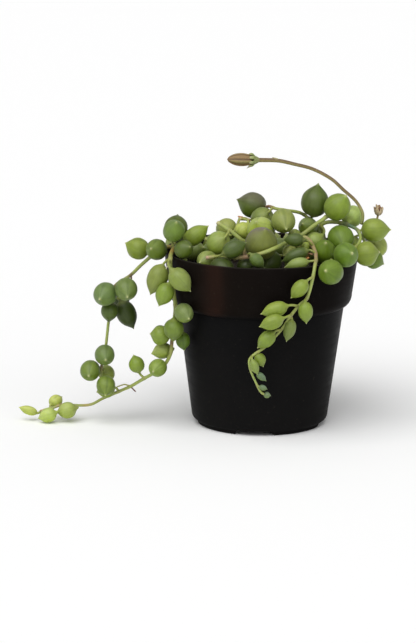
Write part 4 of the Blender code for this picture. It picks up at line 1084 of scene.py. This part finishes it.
def make_spent_flower(finish):
    chance = random.Random("withered")
    shell = Shell()

    def stalk_colour(share, angle):
        return blend("spent stalk", "spent cup", share)

    def core_colour(share, angle):
        return blend("core", "core rib", ramp(math.sin(SPENT_RIBS * angle), 0, 1))

    def core_shape(ring, angle):
        return 1 + 0.14 * math.cos(SPENT_RIBS * angle)

    add_form(shell, stalk_line(SPENT_STALK, SPENT_STALK_RADII), 12, stalk_colour)
    core = tuple((share * 0.86, radius * 0.66) for share, radius in SPENT_CORE)
    add_form(shell, spindle(SPENT_HEAD, core), 40, core_colour, core_shape)
    start, end = (seen(*place) for place in SPENT_HEAD)
    axis = (end - start).normalized()
    side = axis.orthogonal().normalized()
    over = axis.cross(side)
    for index in range(SPENT_STRIPS):
        turn = math.tau * (index + chance.uniform(-0.3, 0.3)) / SPENT_STRIPS
        out = side * math.cos(turn) + over * math.sin(turn)
        cross = axis.cross(out)
        length = chance.uniform(0.66, 1.0)
        curl = chance.uniform(0.3, 1.0) if chance.random() < 0.55 else chance.uniform(-0.6, 0.1)
        sway = chance.uniform(-1.3, 1.3)
        line = []
        for step in range(12):
            t = step / 11
            swell = 0.50 + 1.05 * math.sin(math.pi * 0.86 * t) ** 0.8
            past = max(0.0, t - 0.6)
            reach = swell + curl * past * 3.0
            climb = 0.94 * length * (t - max(0.0, curl) * past * past * 3.6)
            line.append(start.lerp(end, 0.06 + 0.92 * climb) + out * reach + cross * sway * t * t)
        tone = blend("dark strip", "pale strip", chance.random())
        wide, flat = chance.uniform(0.24, 0.42), chance.uniform(0.3, 0.5)
        add_strip(shell, line, wide, out, flat, tone, FLOWER_TONES["strip end"])
    keep(shell.build("look_spent_flower", finish), "spent_flower")


def turned(profile, steps):
    """Points and faces of the solid turned from a closed profile that starts and ends on the axis."""
    points = [(0, 0, profile[0][1])]
    for radius, height in profile[1:-1]:
        for step in range(steps):
            angle = math.tau * step / steps
            points.append((radius * math.cos(angle), radius * math.sin(angle), height))
    points.append((0, 0, profile[-1][1]))
    faces = []
    bands = len(profile) - 3
    for step in range(steps):
        after = (step + 1) % steps
        faces.append((0, 1 + step, 1 + after))
        last = len(points) - 1
        faces.append((last, last - steps + after, last - steps + step))
        for band in range(bands):
            low = 1 + band * steps
            faces.append((low + step, low + steps + step, low + steps + after, low + after))
    return points, faces


def pot_profile():
    """Up the inside from the floor, over the rounded lip, down the outside and in under the floor."""
    band_radius, band_height = BAND_FOOT
    body_radius, body_height = BODY_TOP
    low_radius, low_height = BODY_FOOT
    profile = [
        (0, FLOOR_TOP),
        (low_radius - WALL - 1.0, FLOOR_TOP),
        (low_radius - WALL - 0.3, FLOOR_TOP + 0.3),
        (low_radius - WALL, FLOOR_TOP + 0.9),
        (body_radius - WALL, body_height + 0.7),
        (band_radius - WALL, band_height + 0.5),
        (RIM_RADIUS - WALL - 0.02, POT_HEIGHT - 0.5),
    ]
    for step in range(9):
        angle = math.pi * (1 - step / 8)
        half = WALL / 2
        profile.append((RIM_RADIUS - half + half * math.cos(angle), POT_HEIGHT - 0.5 + 0.5 * math.sin(angle)))
    for step in range(9):
        angle = math.radians(90 * step / 8)
        radius = body_radius + (band_radius - body_radius) * math.cos(angle)
        profile.append((radius, band_height - (band_height - body_height) * math.sin(angle)))
    profile.append((low_radius, low_height))
    for step in range(1, 5):
        angle = math.radians(90 * step / 4)
        profile.append((low_radius - 1.2 * (1 - math.cos(angle)) - 0.1, low_height - 1.4 * math.sin(angle)))
    profile += [
        (FOOT_RADIUS + 0.25, 1.2),
        (FOOT_RADIUS + 0.05, 0.15),
        (FOOT_RADIUS - 0.15, 0),
        (FOOT_RADIUS - FOOT_WIDTH + 0.15, 0),
        (FOOT_RADIUS - FOOT_WIDTH, 0.15),
        (FOOT_RADIUS - FOOT_WIDTH - 0.2, FLOOR_UNDER),
        (0, FLOOR_UNDER),
    ]
    return profile


def loose_object(name, points, faces):
    mesh = bpy.data.meshes.new(name)
    mesh.from_pydata([tuple(value * MM for value in point) for point in points], [], faces)
    work = bmesh.new()
    work.from_mesh(mesh)
    bmesh.ops.recalc_face_normals(work, faces=work.faces)
    work.to_mesh(mesh)
    work.free()
    return new_object(name, mesh)


def cut_away(piece, cutters):
    """Takes each cutter away from the piece in turn, exactly."""
    for cutter in cutters:
        step = piece.modifiers.new("cut", "BOOLEAN")
        step.operation = "DIFFERENCE"
        step.solver = "EXACT"
        step.object = cutter
        bpy.context.view_layer.update()
        mesh = bpy.data.meshes.new_from_object(piece.evaluated_get(bpy.context.evaluated_depsgraph_get()))
        piece.modifiers.clear()
        piece.data = mesh
        bpy.data.objects.remove(cutter)


def notch_cutters():
    """Two bars across the foot ring, narrower at the top, that leave its four notches."""
    for turn in (0, math.pi / 2):
        half, deep = NOTCH_WIDTH / 2, 2 * FOOT_RADIUS
        corners = [
            (x * (0.8 if top else 1.12), y, NOTCH_HEIGHT if top else -1.0)
            for top in (False, True)
            for x, y in ((-half, -deep), (half, -deep), (half, deep), (-half, deep))
        ]
        faces = [(3, 2, 1, 0), (4, 5, 6, 7)] + [(i, (i + 1) % 4, (i + 1) % 4 + 4, i + 4) for i in range(4)]
        cutter = loose_object("notch", corners, faces)
        cutter.data.transform(Matrix.Rotation(NOTCH_TURN + turn, 4, "Z"))
        yield cutter


def drain_cutters():
    """A round bar for each drain hole: one in the middle and four about it."""
    profile = [(0, FLOOR_TOP + 1), (DRAIN_RADIUS, FLOOR_TOP + 1), (DRAIN_RADIUS, 1.3), (0, 1.3)]
    places = [(0.0, 0.0)]
    for quarter in range(4):
        angle = NOTCH_TURN + math.pi / 4 + quarter * math.pi / 2
        places.append((math.cos(angle) * DRAIN_CIRCLE, math.sin(angle) * DRAIN_CIRCLE))
    for x, y in places:
        cutter = loose_object("drain", *turned(profile, 32))
        cutter.data.transform(Matrix.Translation(Vector((x, y, 0)) * MM))
        yield cutter


def drop_slivers(mesh):
    """Splits the many-sided faces that cutting leaves, and takes away what has no area."""
    work = bmesh.new()
    work.from_mesh(mesh)
    bmesh.ops.triangulate(work, faces=[face for face in work.faces if len(face.verts) > 4])
    bmesh.ops.dissolve_degenerate(work, dist=0.002 * MM, edges=work.edges[:])
    work.to_mesh(mesh)
    work.free()


def make_pot(finish):
    """The pot: black, with a painted reddish-brown reflection on the band, a painted highlight that makes the
    lip paler, and dust at the foot.
    """
    pot = loose_object("look_pot", *turned(pot_profile(), POT_STEPS))
    cut_away(pot, [*notch_cutters(), *drain_cutters()])
    mesh = pot.data
    drop_slivers(mesh)
    mesh.transform(Matrix.Translation(AXIS))
    layer = mesh.attributes.new("tint", "FLOAT_COLOR", "POINT")
    for index, vertex in enumerate(mesh.vertices):
        place = (vertex.co - AXIS) / MM
        band = mixed(*BAND_TONES, ramp(place.x, -22, 24))
        colour = mixed(POT_TONE, band, ramp(place.z, BODY_TOP[1], BODY_TOP[1] + 2))
        # Painted highlight along the lip
        colour = mixed(colour, LIP_HIGHLIGHT_TONE, ramp(place.z, POT_HEIGHT - 0.45, POT_HEIGHT))
        # Painted reddish-brown reflection: a narrow upright stripe on the front of the band
        if place.y < 0 and place.z > BODY_TOP[1]:
            band_reflection = bell(place.x - BAND_REFLECTION_AT, BAND_REFLECTION_WIDTH) * (0.6 + 0.4 * noise.noise(place * 0.35))
            colour = mixed(colour, BAND_REFLECTION_TONE, 0.95 * max(0.0, band_reflection))
        colour = mixed(colour, FOOT_DUST_TONE, 0.35 * (1 - ramp(place.z, 0.0, 7.0)))
        layer.data[index].color = (*colour, 1.0)
    mesh.materials.clear()
    mesh.materials.append(finish)
    mesh.shade_smooth()
    mesh.set_sharp_from_angle(angle=SHARP_EDGE)
    keep(pot, "pot")


def crumb_shapes():
    """A few lumpy stones to choose from: the corners and the faces of each."""
    made = []
    for count in range(CRUMB_SHAPES):
        work = bmesh.new()
        bmesh.ops.create_icosphere(work, subdivisions=2, radius=1)
        corners = []
        for vertex in work.verts:
            scale = 1 + 0.45 * noise.noise(vertex.co * 1.3 + Vector((count * 7.0, 0, 0)))
            corners.append(vertex.co * scale)
        made.append((corners, [tuple(corner.index for corner in face.verts) for face in work.faces]))
        work.free()
    return made


def make_soil(finish):
    chance = random.Random("peat")
    shell = Shell()
    rim = inner_radius(SOIL_EDGE) - GAP
    ledge_radius, ledge_height = BAND_FOOT
    body_radius, body_height = BODY_TOP
    low_radius, _ = BODY_FOOT
    profile = [(rim * index / SOIL_CIRCLES, SOIL_CROWN) for index in range(SOIL_CIRCLES + 1)]
    profile += [
        (ledge_radius - WALL - GAP, ledge_height + 0.5),
        (body_radius - WALL - GAP, body_height + 0.6),
        (low_radius - WALL - GAP, FLOOR_TOP + 1.1),
        (low_radius - WALL - GAP - 1.0, FLOOR_TOP + GAP),
        (0, FLOOR_TOP + GAP),
    ]
    points, faces = turned(profile, SOIL_STEPS)
    shaped = []
    for x, y, z in points:
        if z > SOIL_EDGE:
            z = soil_height(x, y)
            fade = 1 - ramp(math.hypot(x, y), rim - 1.5, rim)
            z += fade * 0.55 * noise.fractal(Vector((x * 0.55, y * 0.55, 1.7)), 0.8, 2.1, 5)
        shaped.append((x, y, z))
    tints = [mixed(*PEAT_TONES, 0.5 + 0.5 * noise.noise(Vector(point) * 0.9)) for point in shaped]
    shell.add(shaped, [tuple(reversed(face)) for face in faces], tints, [(0, 0, 0)] * len(shaped))
    crumbs = crumb_shapes()
    for _ in range(CRUMBS):
        radius = (rim - 1.2) * math.sqrt(chance.random())
        angle = chance.uniform(0, math.tau)
        x, y = radius * math.cos(angle), radius * math.sin(angle)
        size = chance.uniform(0.28, 0.75) if chance.random() < 0.8 else chance.uniform(0.75, 1.35)
        corners, faces = crumbs[chance.randrange(CRUMB_SHAPES)]
        turn = Matrix.Rotation(chance.uniform(0, 6.28), 3, "Z")
        turn = turn @ Matrix.Rotation(chance.uniform(0, 6.28), 3, "X")
        stretch = Vector((chance.uniform(0.8, 1.5), chance.uniform(0.7, 1.1), chance.uniform(0.5, 0.9)))
        middle = Vector((x, y, soil_height(x, y) + size * 0.25))
        placed = [middle + turn @ Vector(a * b * size for a, b in zip(corner, stretch)) for corner in corners]
        draw = chance.random()
        tone = mixed(*CRUMB_TONES, chance.random() ** 1.5)
        if draw > 0.94:
            tone = GRAIN_TONE
        elif draw > 0.86:
            tone = CHIP_TONE
        shell.add(placed, faces, [tone] * len(placed), [(0, 0, 0)] * len(placed))
    keep(shell.build("look_soil", finish), "soil")


# ------- the picture


def soft_sun(name, way, strength, spread):
    """A wide, even light that shines along a direction."""
    lamp = bpy.data.lights.new(name, "SUN")
    lamp.energy = strength
    lamp.angle = math.radians(spread)
    new_object(name, lamp).rotation_euler = Vector(way).to_track_quat("-Z", "Y").to_euler()


def make_studio():
    scene = bpy.context.scene
    world = bpy.data.worlds.new("studio")
    world.use_nodes = True
    back = world.node_tree.nodes["Background"]
    back.inputs["Color"].default_value = (1, 1, 1, 1)
    back.inputs["Strength"].default_value = SKY_STRENGTH
    scene.world = world
    floor_mesh = bpy.data.meshes.new("studio_floor")
    corners = [(x * FLOOR_REACH, y * FLOOR_REACH, 0) for x, y in ((-1, -1), (1, -1), (1, 1), (-1, 1))]
    floor_mesh.from_pydata(corners, [], [(0, 1, 2, 3)])
    floor = new_object("studio_floor", floor_mesh)
    white = Finish("studio_white", Base_Color=FLOOR_TONE, Roughness=0.9, Specular_IOR_Level=0.2)
    floor_mesh.materials.append(white.material)
    for name, light in LIGHTS.items():
        soft_sun(name, *light)
    lens = bpy.data.cameras.new("viewpoint")
    lens.lens = SENSOR_WIDTH * FOCAL_PIXELS / PICTURE[1]
    lens.sensor_width = SENSOR_WIDTH
    lens.clip_start = 0.01
    lens.clip_end = 20
    camera = new_object("viewpoint", lens)
    turn = Matrix((RIGHT, UP, -FORWARD)).transposed().to_4x4()
    camera.matrix_world = Matrix.Translation(EYE * MM + AXIS) @ turn
    scene.camera = camera
    scene.view_settings.view_transform = "Standard"


green = leaf_finish("succulent_green")
for vine in VINES:
    make_vine(vine, green)
make_flower(dry_finish("flower_green_brown", 0.82, 1.16))
make_spent_flower(dry_finish("withered_brown", 0.75, 1.25))
make_soil(soil_finish("potting_soil"))
make_pot(pot_finish("pot_plastic"))
make_studio()
